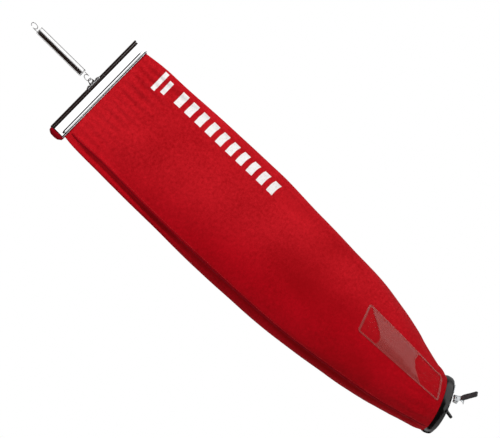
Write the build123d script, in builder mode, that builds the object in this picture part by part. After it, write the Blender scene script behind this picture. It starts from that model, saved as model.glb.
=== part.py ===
"""Outer dust bag of an upright vacuum cleaner, in millimetres.

The bag hangs from the upper eye of a spring. Its top hem is held in a slide clip, and a
collar with a latch joins its mouth to the machine. +Z is up, -Y is the bag's front and the
origin is the centre of the spring's upper eye.
"""
from build123d import *
import os
from math import acos, atan2, cos, degrees, hypot, radians, sin

os.makedirs("parts", exist_ok=True)

# ---- Driving sizes ------------------------------------------------------------------
# Spring
wire = 1.3
eye_wire = 1.24             # the same wire, drawn thinner where it is bent up from the coil
eye_arc = 325.0             # how far the wire goes round an eye
coil_diameter = 13.0
coil_length = 95.5
eye_drop = 10.25            # from the centre of an eye to the nearest end of the coil
eye_turn = 32.0             # the eyes' plane, turned from the bag's side to its front
# Slide clip
clip_length = 190.0
clip_radius = 6.5           # outside of the rolled top
clip_height = 26.4
clip_sheet = 0.8
mouth_gap = 4.4             # between the clip's walls at its mouth
lip_height = 2.4
lip_flare = 1.3
bead_length = 176.0
bead_width = 4.0
bead_rise = 0.7
bead_margin = 0.4           # between the bead and the clip's lips
# Hanger tab
tab_sheet = 1.2
tab_hole_radius = 2.5
tab_margin = 1.8            # metal around the hole
tab_length = 26.0
tab_flare = 2.0             # the ear's foot is this much wider than its top, on each side
tab_slack = 1.2             # from the wire's centre down to the hole's centre
hang_height = 5.95          # from the wire's centre down to the clip's top
saddle_half_angle = 42.0
tab_rivet_radius = 1.5
tab_rivet_spacing = 18.0
rivet_head_share = 1.6      # a rivet head's radius and rise, as shares of its shank's radius
rivet_rise_share = 0.6
# Bag
hem_overhang = 8.5          # hem that shows at the clip's left end
hem_recess = 1.5            # hem that stops short of the clip's right end
hem_rod_radius = 2.6
hem_tail = 1.5              # hem below the clip's lips
cloth = 1.2
seam_half_angle = 2.0
seam_rise = 0.9
seam_depth = 0.3            # seam allowance inside the cloth's inner face
left_seam_angle = 213.0     # from the bag's right side, counter-clockwise seen from above
right_seam_angle = 33.0
bag_drop = 716.0            # from the end of the hem to the middle of the collar cuff
# Label pocket
pocket_start = 0.746        # pocket's top edge, as a share of the bag's drop
pocket_sheet = 0.8
pocket_lift = 0.4           # below the pocket, left for the weave's thickness
pocket_corner = 9.0
pocket_length = 160.0
pocket_width = 54.0         # between the widest points, before the edges are cut to the bag's taper
pocket_middle = 36.0
pocket_left_angle = 274.0
pocket_right_angles = [300, 300, 300, 300, 301, 303, 311, 322, 326]
# Collar
collar_tilt = 20.0
collar_offset = 16.2
bore_radius = 41.5
sleeve_wall = 2.7
sleeve_inside = 24.0        # sleeve above the cuff's top edge
cuff_stand = 5.3            # from the sleeve to the cuff's widest line
cuff_height = 13.5
cuff_wall = 3.0
cuff_bulge = 2.6            # the cuff's top edge is this much smaller than its middle
cuff_taper = 1.04           # and its foot is this much smaller
cuff_floor = 2.6
neck_hem_length = 8.0
band_sheet = 0.7
band_width = 5.0
gasket_height = 2.5
collar_rivet_radius = 2.0
collar_rivet_head = 3.4
collar_rivet_rise = 1.2
collar_rivet_taper = 40.0
rivet_setback = 0.1         # shank that stops short of the bore
# Locating peg
peg_radius = 2.75
peg_length = 14.0
peg_inset = 2.3             # from the cuff's widest line to the peg's middle
peg_angle = -7.0            # around the collar, from its front towards its right
peg_lean = 30.0
peg_chamfer = 0.8
# Latch
latch_stand = 0.5           # from the cuff's widest line out to the latch pin
latch_angle = 20.0
latch_heading = 42.0        # the lever's direction, measured like latch_angle
latch_sheet = 1.2
latch_wing_angle = 17.0
bracket_setback = 0.4       # from the cuff's foot to the bracket's edge
latch_rivet_radius = 1.2
latch_rivet_spread = 13.0
latch_rivet_grip = 2.0
pin_radius = 1.5
pin_head = 0.8
pin_head_radius = 2.25
pin_drop = 5.2              # from the cuff's underside to the latch pin
ear_radius = 3.4
eye_wall = 1.25
lever_width = 9.0
lever_reach = 9.5           # from the pin to the knee
lever_droop = 60.0
slot_margin = 2.4           # slot in the lever beyond its eyes, for the torsion spring
grip_hold = 14.0            # lever sheet beyond the knee
grip_setback = 2.0          # from the knee to the grip
grip_corner = 1.2
grip_length = 27.5
grip_width = 10.4
grip_thickness = 3.4
grip_droop = 35.0
spring_wire = 0.9
spring_width = 4.2
claw_width = 7.0
claw_seat = 3.5             # from the lever's start to the claw
claw_hold = 5.0             # claw that lies on the lever
claw_length = 8.0
claw_toe = 3.0
claw_toe_drop = 0.5
claw_lean = 0.35            # how far the claw leans inwards for each millimetre of its length
# Rear hook
hook_angle = 200.0
hook_width = 16.0
hook_drop = 11.0
hook_toe = 6.0
hook_overhang = 1.6         # hook beyond the cuff's foot
hook_rivet_spread = 6.0
# Clearances
running = 0.05              # between a shaft and its hole, on the radius
slide_gap = 0.3             # between the hem and the clip
free_gap = 0.3              # between pieces that turn past each other

# ---- Sizes that follow --------------------------------------------------------------
coil_radius = (coil_diameter - wire) / 2
coil_top = -eye_drop + wire / 2
coil_bottom = coil_top - coil_length
lower_eye_height = coil_bottom - eye_drop + wire / 2
link_height = lower_eye_height - coil_radius
clip_top = link_height - hang_height
clip_axis = clip_top - clip_radius
clip_bottom = clip_top - clip_height
mouth_height = clip_bottom + lip_height
hem_bottom = clip_bottom - hem_tail
neck_height = hem_bottom - bag_drop
sleeve_radius = bore_radius + sleeve_wall
cuff_radius = sleeve_radius + cuff_stand
neck_radius = cuff_radius - cuff_bulge - free_gap


def finish(piece, label):
    """Label a finished piece and write it to its own file."""
    piece.part.label = label
    export_step(piece.part, f"parts/{label}.step")


def tangent_angle(radius, half_gap, drop):
    """Angle below the horizontal at which a wall leaves a round top for its mouth."""
    return 90 - degrees(atan2(half_gap, drop)) - degrees(acos(radius / hypot(half_gap, drop)))


# ---- Spring -------------------------------------------------------------------------
eye_side = Vector(-sin(radians(eye_turn)), cos(radians(eye_turn)), 0)


def spring_end(height, toward_coil, side):
    """Make the coil's end turn, the wire that leaves it and the eye which that wire forms."""
    eye_plane = Plane(origin=(0, 0, height), x_dir=side, z_dir=side.cross(Vector(0, 0, toward_coil)))
    with BuildPart() as end:
        with BuildSketch(Plane.XY.offset(height + toward_coil * eye_drop - wire / 2)):
            Circle(coil_radius + wire / 2)
            Circle(coil_radius - wire / 2, mode=Mode.SUBTRACT)
        extrude(amount=wire)
        with BuildLine(eye_plane) as path:
            Line((coil_radius, eye_drop), (coil_radius, 0))
            CenterArc((0, 0), coil_radius, 0, -eye_arc)
        with BuildSketch(Plane(origin=path.line @ 0, z_dir=path.line % 0)):
            Circle(eye_wire / 2)
        sweep()
    return end


spring_upper_eye = spring_end(0, -1, eye_side)
finish(spring_upper_eye, "spring_upper_eye")

spring_lower_eye = spring_end(lower_eye_height, 1, -eye_side)
finish(spring_lower_eye, "spring_lower_eye")

with BuildPart() as spring_coil:
    with BuildSketch(Plane.XY.offset(coil_bottom + wire)):
        Circle(coil_radius + wire / 2)
        Circle(coil_radius - wire / 2, mode=Mode.SUBTRACT)
    extrude(amount=coil_length - 2 * wire)
finish(spring_coil, "spring_coil")


# ---- Slide clip ---------------------------------------------------------------------
sheet_radius = clip_radius - clip_sheet / 2
sheet_gap = mouth_gap / 2 + clip_sheet / 2
wall_drop = clip_axis - mouth_height
wall_tilt = tangent_angle(sheet_radius, sheet_gap, wall_drop)
wall_normal = Vector(0, -cos(radians(wall_tilt)), -sin(radians(wall_tilt)))
wall_along = Vector(0, wall_normal.Z, -wall_normal.Y)
bead_slope = (bead_width / 2 + bead_margin) / cos(radians(wall_tilt))
bead_centre = Vector(0, -sheet_gap, mouth_height) + wall_along * bead_slope + wall_normal * clip_sheet / 2
lip_drop = lip_height - clip_sheet / 2
saddle_radius = clip_radius + tab_sheet
rivet_places = [-tab_rivet_spacing / 2, tab_rivet_spacing / 2]

with BuildPart() as clip_channel:
    with BuildSketch(Plane.YZ.offset(-clip_length / 2)):
        with BuildLine():
            roll = CenterArc((0, clip_axis), sheet_radius, -wall_tilt, 180 + 2 * wall_tilt)
            back_wall = Line(roll @ 0, (sheet_gap, mouth_height))
            Line(back_wall @ 1, (sheet_gap + lip_flare, mouth_height - lip_drop))
            front_wall = Line(roll @ 1, (-sheet_gap, mouth_height))
            Line(front_wall @ 1, (-sheet_gap - lip_flare, mouth_height - lip_drop))
        trace(line_width=clip_sheet)
    extrude(amount=clip_length)
    with BuildSketch(Plane(origin=bead_centre, x_dir=(1, 0, 0), z_dir=wall_normal)):
        SlotOverall(bead_length, bead_width)
    extrude(amount=bead_rise)
    with BuildSketch(Plane.XY.offset(clip_axis)):
        with Locations(*[(place, 0) for place in rivet_places]):
            Circle(tab_rivet_radius)
    extrude(amount=clip_radius + tab_sheet, mode=Mode.SUBTRACT)
finish(clip_channel, "clip_channel")

ear_radius_top = tab_hole_radius + tab_margin
hole_height = link_height - tab_slack
with BuildPart() as clip_hanger_tab:
    with BuildSketch(Plane.YZ.offset(-tab_length / 2)):
        with BuildLine():
            CenterArc((0, clip_axis), clip_radius + tab_sheet / 2, 90 - saddle_half_angle, 2 * saddle_half_angle)
        trace(line_width=tab_sheet)
    extrude(amount=tab_length)
    with BuildSketch(Plane.XZ.offset(-tab_sheet / 2)):
        with Locations((0, hole_height)):
            Circle(ear_radius_top)
        with BuildLine():
            Polyline(
                (-ear_radius_top, hole_height),
                (ear_radius_top, hole_height),
                (ear_radius_top + tab_flare, clip_top + tab_sheet / 2),
                (-ear_radius_top - tab_flare, clip_top + tab_sheet / 2),
                close=True,
            )
        make_face()
        with Locations((0, hole_height)):
            Circle(tab_hole_radius, mode=Mode.SUBTRACT)
    extrude(amount=tab_sheet)
    with BuildSketch(Plane.XY.offset(clip_axis)):
        with Locations(*[(place, 0) for place in rivet_places]):
            Circle(tab_rivet_radius)
    extrude(amount=clip_radius + 2 * tab_sheet, mode=Mode.SUBTRACT)
finish(clip_hanger_tab, "clip_hanger_tab")

with BuildPart() as tab_rivets:
    with BuildSketch(Plane.XY.offset(clip_axis + clip_radius - clip_sheet / 2)):
        with Locations(*[(place, 0) for place in rivet_places]):
            Circle(tab_rivet_radius)
    extrude(amount=tab_sheet + clip_sheet / 2)
    with BuildSketch(Plane.XY.offset(clip_axis + saddle_radius)):
        with Locations(*[(place, 0) for place in rivet_places]):
            Circle(tab_rivet_radius * rivet_head_share)
    extrude(amount=tab_rivet_radius * rivet_rise_share)
finish(tab_rivets, "tab_rivets")


# ---- Top hem ------------------------------------------------------------------------
hem_radius = clip_radius - clip_sheet - slide_gap
hem_half = mouth_gap / 2 - slide_gap
hem_tilt = tangent_angle(hem_radius, hem_half, wall_drop)
hem_left = -clip_length / 2 - hem_overhang
hem_length = clip_length + hem_overhang - hem_recess

with BuildPart() as top_hem:
    with BuildSketch(Plane.YZ.offset(hem_left)):
        with BuildLine():
            roll = CenterArc((0, clip_axis), hem_radius, -hem_tilt, 180 + 2 * hem_tilt)
            Polyline(
                roll @ 1,
                (-hem_half, mouth_height),
                (-hem_half, hem_bottom),
                (hem_half, hem_bottom),
                (hem_half, mouth_height),
                roll @ 0,
            )
        make_face()
        with Locations((0, clip_axis)):
            Circle(hem_rod_radius, mode=Mode.SUBTRACT)
    extrude(amount=hem_length)
finish(top_hem, "top_hem")

with BuildPart() as hem_rod:
    with BuildSketch(Plane.YZ.offset(hem_left)):
        with Locations((0, clip_axis)):
            Circle(hem_rod_radius)
    extrude(amount=hem_length)
finish(hem_rod, "hem_rod")


# ---- Bag ----------------------------------------------------------------------------
# Each station is a level section of the bag: its height below the hem as a share of the
# bag's drop, how far its centre stands to the right, its half width and half depth, and
# how far it leans towards the collar. The lowest ones keep their room around the sleeve.
stations = [
    (0.000, 0.5, 94.0, 2.2, 0.0),
    (0.098, 2.5, 96.0, 13.0, 0.0),
    (0.273, 4.0, 100.0, 28.0, 0.0),
    (0.447, 5.3, 98.8, 38.0, 0.0),
    (0.622, 7.0, 94.0, 46.0, 0.0),
    (0.746, 10.0, 86.0, neck_radius + 3.4, 1.0),
    (0.865, 10.5, neck_radius + 24.9, neck_radius + 4.4, 5.0),
    (0.955, 12.8, neck_radius + 9.4, neck_radius + 2.4, 13.0),
    (1.000, collar_offset, neck_radius, neck_radius, collar_tilt),
]


def station_plane(station):
    """Plane of a bag section, with +X to the right and +Y to the back."""
    share, centre, _, _, lean = station
    turn = radians(lean)
    return Plane(
        origin=(centre, 0, hem_bottom - share * bag_drop),
        x_dir=(cos(turn), 0, sin(turn)),
        z_dir=(-sin(turn), 0, cos(turn)),
    )


def bag_strip(ranges, inner, outer):
    """Loft a strip of the bag's wall between two angles at every station.

    ranges holds a start angle and an end angle for each station. inner and outer are the
    strip's offsets from the bag's outer surface, counted outwards.
    """
    with BuildPart() as strip:
        for station, (start, end) in zip(stations, ranges):
            _, _, half_width, half_depth, _ = station
            span = end - start
            with BuildSketch(station_plane(station)):
                with BuildLine():
                    far = EllipticalCenterArc(
                        (0, 0), half_width + outer, half_depth + outer, start, arc_size=span
                    )
                    near = EllipticalCenterArc(
                        (0, 0), half_width + inner, half_depth + inner, start, arc_size=span
                    )
                    Line(far @ 0, near @ 0)
                    Line(far @ 1, near @ 1)
                make_face()
        loft()
    return strip


def even(start, end):
    """The same two angles at every station."""
    return [(start, end)] * len(stations)


def seam(angle):
    """The strip of doubled cloth along a seam."""
    ranges = even(angle - seam_half_angle, angle + seam_half_angle)
    return bag_strip(ranges, -cloth - seam_depth, seam_rise)


def panel(start, end):
    """A cloth panel that ends at the seams' edges."""
    with BuildPart() as piece:
        add(bag_strip(even(start, end), -cloth, 0).part)
        add(left_seam.part, mode=Mode.SUBTRACT)
        add(right_seam.part, mode=Mode.SUBTRACT)
    return piece


left_seam = seam(left_seam_angle)
finish(left_seam, "left_seam")

right_seam = seam(right_seam_angle)
finish(right_seam, "right_seam")

front_panel = panel(left_seam_angle, right_seam_angle + 360)
finish(front_panel, "front_panel")

back_panel = panel(right_seam_angle, left_seam_angle)
finish(back_panel, "back_panel")

# ---- Label pocket -------------------------------------------------------------------
pocket_top = hem_bottom - pocket_start * bag_drop

pocket_wall = bag_strip(
    [(pocket_left_angle, right) for right in pocket_right_angles],
    pocket_lift,
    pocket_lift + pocket_sheet,
)
with BuildPart() as label_pocket:
    add(pocket_wall.part)
    with BuildSketch(Plane.XZ):
        with Locations((pocket_middle, pocket_top - pocket_length / 2)):
            RectangleRounded(pocket_width, pocket_length, pocket_corner)
    extrude(amount=2 * cuff_radius, mode=Mode.INTERSECT)
finish(label_pocket, "label_pocket")


# ---- Collar -------------------------------------------------------------------------
tilt = radians(collar_tilt)
collar = Plane(
    origin=(collar_offset, 0, neck_height),
    x_dir=(cos(tilt), 0, sin(tilt)),
    z_dir=(sin(tilt), 0, -cos(tilt)),
)
# On this plane +Z points out of the bag's mouth, and +Y points to the bag's front.
cuff_foot = cuff_radius - cuff_taper
band_radius = cuff_radius - cuff_wall
floor_radius = (sleeve_radius + cuff_foot) / 2
collar_rivet_angles = [120.0, 180.0, 240.0]
fitting_inner = sleeve_radius + free_gap
latch_rivet_angles = [latch_angle - latch_rivet_spread, latch_angle + latch_rivet_spread]
hook_rivet_angles = [hook_angle - hook_rivet_spread, hook_angle + hook_rivet_spread]


def outward(angle):
    """Direction away from the collar's axis, at an angle from the front to the right."""
    return collar.x_dir * sin(radians(angle)) + collar.y_dir * cos(radians(angle))


def at_rim(angle, radius, height):
    """Point at an angle, radius and height below the cuff's top edge."""
    return collar.origin + outward(angle) * radius + collar.z_dir * height


with BuildPart() as rivet_holes:
    for angle in collar_rivet_angles:
        with BuildSketch(Plane(origin=at_rim(angle, 0, cuff_height / 2), z_dir=outward(angle))):
            Circle(collar_rivet_radius)
        extrude(amount=2 * cuff_radius)


def ring(outer, inner, start, height):
    """Make a plain ring around the collar's axis."""
    with BuildPart() as piece:
        with BuildSketch(collar.offset(start)):
            Circle(outer)
            Circle(inner, mode=Mode.SUBTRACT)
        extrude(amount=height)
    return piece


def riveted_ring(outer, inner, start, height):
    """Make a ring that the collar rivets pass through."""
    with BuildPart() as piece:
        add(ring(outer, inner, start, height).part)
        add(rivet_holes.part, mode=Mode.SUBTRACT)
    return piece


def sector(outer, inner, angle, half_angle, start, height):
    """Make a piece of a ring, centred on an angle."""
    middle = 90 - angle
    with BuildPart() as piece:
        with BuildSketch(collar.offset(start)):
            with BuildLine():
                rim = CenterArc((0, 0), outer, middle - half_angle, 2 * half_angle)
                throat = CenterArc((0, 0), inner, middle - half_angle, 2 * half_angle)
                Line(rim @ 0, throat @ 0)
                Line(rim @ 1, throat @ 1)
            make_face()
        extrude(amount=height)
    return piece


cuff_plane = Plane(origin=collar.origin, x_dir=collar.x_dir, z_dir=-collar.y_dir)
with BuildPart() as collar_cuff:
    with BuildSketch(cuff_plane):
        with BuildLine():
            Spline((cuff_radius - cuff_bulge, 0), (cuff_radius, cuff_height / 2), tangents=[(1, 1), (0, 1)])
            Spline((cuff_radius, cuff_height / 2), (cuff_foot, cuff_height), tangents=[(0, 1), (-1, 3)])
            Polyline(
                (cuff_foot, cuff_height),
                (sleeve_radius, cuff_height),
                (sleeve_radius, cuff_height - cuff_floor),
                (band_radius, cuff_height - cuff_floor),
                (band_radius, 0),
                (cuff_radius - cuff_bulge, 0),
            )
        make_face()
    revolve(axis=Axis(collar.origin, collar.z_dir))
    add(rivet_holes.part, mode=Mode.SUBTRACT)
    with BuildSketch(collar.offset(cuff_height - latch_rivet_grip)):
        for angle in latch_rivet_angles + hook_rivet_angles:
            with PolarLocations(floor_radius, 1, start_angle=90 - angle):
                Circle(latch_rivet_radius)
    extrude(amount=latch_rivet_grip, mode=Mode.SUBTRACT)
finish(collar_cuff, "collar_cuff")

collar_sleeve = riveted_ring(sleeve_radius, bore_radius, -sleeve_inside, sleeve_inside + cuff_height)
finish(collar_sleeve, "collar_sleeve")

neck_hem = riveted_ring(band_radius - band_sheet, sleeve_radius, 0, neck_hem_length)
finish(neck_hem, "neck_hem")

neck_band = riveted_ring(band_radius, band_radius - band_sheet, neck_hem_length - band_width, band_width)
finish(neck_band, "neck_band")

collar_gasket = ring(sleeve_radius, bore_radius, cuff_height, gasket_height)
finish(collar_gasket, "collar_gasket")

with BuildPart() as collar_rivets:
    for angle in collar_rivet_angles:
        rivet_start = bore_radius + rivet_setback
        with BuildSketch(Plane(origin=at_rim(angle, rivet_start, cuff_height / 2), z_dir=outward(angle))):
            Circle(collar_rivet_radius)
        extrude(amount=cuff_radius - rivet_start)
        with BuildSketch(Plane(origin=at_rim(angle, cuff_radius, cuff_height / 2), z_dir=outward(angle))):
            Circle(collar_rivet_head)
        extrude(amount=collar_rivet_rise, taper=collar_rivet_taper)
finish(collar_rivets, "collar_rivets")

peg_direction = collar.z_dir * cos(radians(peg_lean)) - collar.x_dir * sin(radians(peg_lean))
peg_start = at_rim(peg_angle, cuff_radius - peg_inset, cuff_height)
with BuildPart() as locating_peg:
    with BuildSketch(Plane(origin=peg_start - peg_direction * 2 * peg_radius, z_dir=peg_direction)):
        Circle(peg_radius)
    extrude(amount=peg_length + 2 * peg_radius)
    peg_rims = locating_peg.edges().filter_by(GeomType.CIRCLE).sort_by(Axis(peg_start, peg_direction))
    chamfer(peg_rims[-1], peg_chamfer)
    with BuildSketch(collar.offset(cuff_height)):
        Circle(2 * cuff_radius)
    extrude(amount=-3 * peg_radius, mode=Mode.SUBTRACT)
finish(locating_peg, "locating_peg")


# ---- Latch --------------------------------------------------------------------------
# Profiles are drawn on a plane across the latch pin: +X along the lever's heading, +Y down
# out of the bag's mouth and +Z along the pin.
pin_centre = at_rim(latch_angle, cuff_radius + latch_stand, cuff_height + pin_drop)
latch = Plane(origin=pin_centre, x_dir=outward(latch_heading), z_dir=outward(latch_heading).cross(collar.z_dir))
lever_eye_radius = pin_radius + running + eye_wall
slot_half = spring_width / 2 + free_gap
ear_gap = lever_width / 2 + free_gap
plate_top = -pin_drop
bracket_outer = cuff_foot - bracket_setback
plate_under = plate_top + latch_sheet
lever_way = Vector(cos(radians(lever_droop)), sin(radians(lever_droop)))
grip_way = Vector(cos(radians(grip_droop)), sin(radians(grip_droop)))
lever_side = Vector(lever_way.Y, -lever_way.X)
lever_start = lever_side * (lever_eye_radius - latch_sheet / 2)
lever_knee = lever_start + lever_way * lever_reach


def across_latch(half_width):
    """The latch's profile plane, moved to one side of the latch."""
    return latch.offset(-half_width)


with BuildPart() as latch_bracket:
    add(sector(bracket_outer, fitting_inner, latch_angle, latch_wing_angle, cuff_height, latch_sheet).part)
    with BuildSketch(across_latch(ear_gap + latch_sheet)):
        with Locations((0, plate_top + latch_sheet / 2)):
            Rectangle(2 * ear_radius, latch_sheet)
    extrude(amount=2 * (ear_gap + latch_sheet))
    for side in [-ear_gap - latch_sheet, ear_gap]:
        with BuildSketch(latch.offset(side)):
            Circle(ear_radius)
            with Locations((0, plate_top / 2)):
                Rectangle(2 * ear_radius, pin_drop)
            Circle(pin_radius, mode=Mode.SUBTRACT)
        extrude(amount=latch_sheet)
    with BuildSketch(collar.offset(cuff_height)):
        Circle(fitting_inner)
    extrude(amount=latch_sheet, mode=Mode.SUBTRACT)
    with BuildSketch(collar.offset(cuff_height)):
        for angle in latch_rivet_angles:
            with PolarLocations(floor_radius, 1, start_angle=90 - angle):
                Circle(latch_rivet_radius)
    extrude(amount=latch_sheet, mode=Mode.SUBTRACT)
finish(latch_bracket, "latch_bracket")


def floor_rivet_set(angles):
    """Make the rivets that hold a fitting of latch sheet to the cuff's floor."""
    with BuildPart() as rivets:
        for angle in angles:
            with BuildSketch(collar.offset(cuff_height - latch_rivet_grip)):
                with PolarLocations(floor_radius, 1, start_angle=90 - angle):
                    Circle(latch_rivet_radius)
            extrude(amount=latch_rivet_grip + latch_sheet)
            with BuildSketch(collar.offset(cuff_height + latch_sheet)):
                with PolarLocations(floor_radius, 1, start_angle=90 - angle):
                    Circle(latch_rivet_radius * rivet_head_share)
            extrude(amount=latch_rivet_radius * rivet_rise_share)
    return rivets


latch_rivets = floor_rivet_set(latch_rivet_angles)
finish(latch_rivets, "latch_rivets")

pin_half = ear_gap + latch_sheet
with BuildPart() as latch_pin:
    with BuildSketch(across_latch(pin_half)):
        Circle(pin_radius)
    extrude(amount=2 * pin_half)
    for side in [-pin_half - pin_head, pin_half]:
        with BuildSketch(latch.offset(side)):
            Circle(pin_head_radius)
        extrude(amount=pin_head)
finish(latch_pin, "latch_pin")

with BuildPart() as latch_spring:
    with BuildSketch(across_latch(spring_width / 2)):
        Circle(pin_radius + free_gap + spring_wire)
        Circle(pin_radius + free_gap, mode=Mode.SUBTRACT)
    extrude(amount=spring_width)
    with BuildSketch(across_latch(spring_wire / 2)):
        with Locations((-pin_radius - free_gap - spring_wire / 2, plate_under / 2)):
            Rectangle(spring_wire, -plate_under)
    extrude(amount=spring_wire)
finish(latch_spring, "latch_spring")

with BuildPart() as latch_lever:
    with BuildSketch(across_latch(lever_width / 2)):
        Circle(lever_eye_radius)
        with BuildLine():
            Polyline(lever_start, lever_knee, lever_knee + grip_way * grip_hold)
        trace(line_width=latch_sheet)
        Circle(pin_radius + running, mode=Mode.SUBTRACT)
    extrude(amount=lever_width)
    with BuildSketch(across_latch(slot_half)):
        Circle(lever_eye_radius + slot_margin)
    extrude(amount=2 * slot_half, mode=Mode.SUBTRACT)
finish(latch_lever, "latch_lever")

grip_start = lever_knee + grip_way * grip_setback
with BuildPart() as lever_grip:
    with BuildSketch(across_latch(grip_width / 2)):
        with Locations(Location(grip_start + grip_way * (grip_length / 2), (0, 0, grip_droop))):
            Rectangle(grip_length, grip_thickness)
    extrude(amount=grip_width)
    fillet(lever_grip.edges().filter_by(Axis(latch.origin, latch.z_dir)), grip_corner)
    add(latch_lever.part, mode=Mode.SUBTRACT)
finish(lever_grip, "lever_grip")

claw_start = lever_start + lever_way * claw_seat - lever_side * latch_sheet
claw_knee = claw_start + lever_way * claw_hold
claw_end = claw_knee + Vector(-claw_lean, 1).normalized() * claw_length
with BuildPart() as latch_claw:
    with BuildSketch(across_latch(claw_width / 2)):
        with BuildLine():
            Polyline(claw_start, claw_knee, claw_end, claw_end + Vector(-claw_toe, claw_toe_drop))
        trace(line_width=latch_sheet)
    extrude(amount=claw_width)
finish(latch_claw, "latch_claw")


# ---- Rear hook ----------------------------------------------------------------------
hook_half_angle = degrees(hook_width / 2 / floor_radius)
hook_outer = cuff_foot + hook_overhang
with BuildPart() as rear_hook:
    add(sector(hook_outer, fitting_inner, hook_angle, hook_half_angle, cuff_height, latch_sheet).part)
    add(sector(hook_outer, hook_outer - latch_sheet, hook_angle, hook_half_angle, cuff_height, hook_drop).part)
    add(
        sector(
            hook_outer,
            hook_outer - hook_toe,
            hook_angle,
            hook_half_angle,
            cuff_height + hook_drop - latch_sheet,
            latch_sheet,
        ).part
    )
    with BuildSketch(collar.offset(cuff_height)):
        for angle in hook_rivet_angles:
            with PolarLocations(floor_radius, 1, start_angle=90 - angle):
                Circle(latch_rivet_radius)
    extrude(amount=latch_sheet, mode=Mode.SUBTRACT)
finish(rear_hook, "rear_hook")

rear_hook_rivets = floor_rivet_set(hook_rivet_angles)
finish(rear_hook_rivets, "rear_hook_rivets")
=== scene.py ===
"""Looks of an upright vacuum cleaner's outer dust bag: cloth, chrome, vinyl and a latching collar.

Every length is in metres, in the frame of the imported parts: +Z is up, -Y is the bag's front
and the origin is the centre of the spring's upper eye.
"""
from __future__ import annotations

import logging
import math
from collections.abc import Sequence
from dataclasses import dataclass, field
from enum import Enum

import bpy
import numpy as np
from bpy.types import Material, Node, NodeSocket, NodeTree, Object
from mathutils import Matrix, Vector, noise
from mathutils.bvhtree import BVHTree

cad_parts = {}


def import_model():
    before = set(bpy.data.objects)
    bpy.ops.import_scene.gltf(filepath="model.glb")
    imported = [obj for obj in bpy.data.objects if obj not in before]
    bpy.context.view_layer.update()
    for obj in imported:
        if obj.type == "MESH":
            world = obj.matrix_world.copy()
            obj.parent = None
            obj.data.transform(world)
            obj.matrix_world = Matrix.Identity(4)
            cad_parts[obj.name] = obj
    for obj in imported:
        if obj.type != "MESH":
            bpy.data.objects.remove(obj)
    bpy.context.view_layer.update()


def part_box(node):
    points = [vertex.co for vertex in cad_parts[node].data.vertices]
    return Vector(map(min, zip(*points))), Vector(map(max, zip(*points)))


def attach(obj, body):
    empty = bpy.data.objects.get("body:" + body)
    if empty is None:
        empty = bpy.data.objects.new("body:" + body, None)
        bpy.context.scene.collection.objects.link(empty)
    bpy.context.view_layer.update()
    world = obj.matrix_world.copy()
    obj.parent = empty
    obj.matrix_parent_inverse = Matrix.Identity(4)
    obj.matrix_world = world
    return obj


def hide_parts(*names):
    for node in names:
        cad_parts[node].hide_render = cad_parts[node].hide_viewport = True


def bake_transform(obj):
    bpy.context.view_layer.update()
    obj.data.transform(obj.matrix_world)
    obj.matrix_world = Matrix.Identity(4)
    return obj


log = logging.getLogger("dust_bag")
MM = 0.001
Colour = tuple[float, float, float]


# ---- Shader tools ------------------------
def fill(socket: NodeSocket, value: object) -> None:
    """Link an input to another socket, or set its value."""
    if isinstance(value, NodeSocket):
        socket.id_data.links.new(value, socket)
    else:
        socket.default_value = value


class Graph:
    """A small helper that adds nodes to a node tree and joins their sockets."""

    def __init__(self, tree: NodeTree) -> None:
        """Start on an existing tree."""
        self.tree = tree

    def node(self, kind: str, inputs: dict | None = None, **settings: object) -> Node:
        """Add a node, set its properties and fill its inputs.

        Args:
            kind: the node's type name.
            inputs: values or sockets by input name or number.
            settings: node properties.

        Returns:
            The new node.
        """
        made = self.tree.nodes.new(kind)
        for name, value in settings.items():
            setattr(made, name, value)
        for name, value in (inputs or {}).items():
            fill(made.inputs[name], value)
        return made

    def math(self, operation: str, *values: object) -> NodeSocket:
        """Join values by a Math node and return its result."""
        return self.node("ShaderNodeMath", dict(enumerate(values)), operation=operation).outputs[0]

    def remap(self, value: object, low: float, high: float, to_low: float = 0.0, to_high: float = 1.0,
              smooth: bool = True) -> NodeSocket:
        """Map a range of values onto another, clamped.

        Args:
            value: the socket to map.
            low: input that gives to_low.
            high: input that gives to_high.
            to_low: output at low.
            to_high: output at high.
            smooth: whether the change eases in and out.

        Returns:
            The mapped value's socket.
        """
        kind = "SMOOTHSTEP" if smooth else "LINEAR"
        inputs = {0: value, 1: low, 2: high, 3: to_low, 4: to_high}
        return self.node("ShaderNodeMapRange", inputs, interpolation_type=kind).outputs[0]

    def mix(self, factor: object, first: object, second: object) -> NodeSocket:
        """Mix two colours and return the result."""
        made = self.node("ShaderNodeMix", {0: factor}, data_type="RGBA")
        for place, value in ((6, first), (7, second)):
            if isinstance(value, NodeSocket):
                self.tree.links.new(value, made.inputs[place])
            else:
                made.inputs[place].default_value = (*value, 1.0)
        return made.outputs[2]

    def noise(self, vector: object, scale: float, detail: float = 2.0, rough: float = 0.5) -> NodeSocket:
        """Add a noise texture and return its value."""
        inputs = {"Vector": vector, "Scale": scale, "Detail": detail, "Roughness": rough}
        return self.node("ShaderNodeTexNoise", inputs).outputs[0]


class Effect(Enum):
    """Shared shader effects, each built once as a node group."""

    WEAVE = "plain_weave"
    GRAIN = "moulded_grain"
    SCUFF = "handling_scuffs"
    WEAR = "edge_wear"


def effect_group(effect: Effect) -> NodeTree:
    """Build a shared effect's node group, or find it if it is built already.

    Args:
        effect: which effect.

    Returns:
        The node group.
    """
    found = bpy.data.node_groups.get(effect.value)
    if found is not None:
        return found
    tree = bpy.data.node_groups.new(effect.value, "ShaderNodeTree")
    graph = Graph(tree)
    builder = {
        Effect.WEAVE: build_weave,
        Effect.GRAIN: build_grain,
        Effect.SCUFF: build_scuff,
        Effect.WEAR: build_wear,
    }[effect]
    builder(graph)
    return tree


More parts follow.
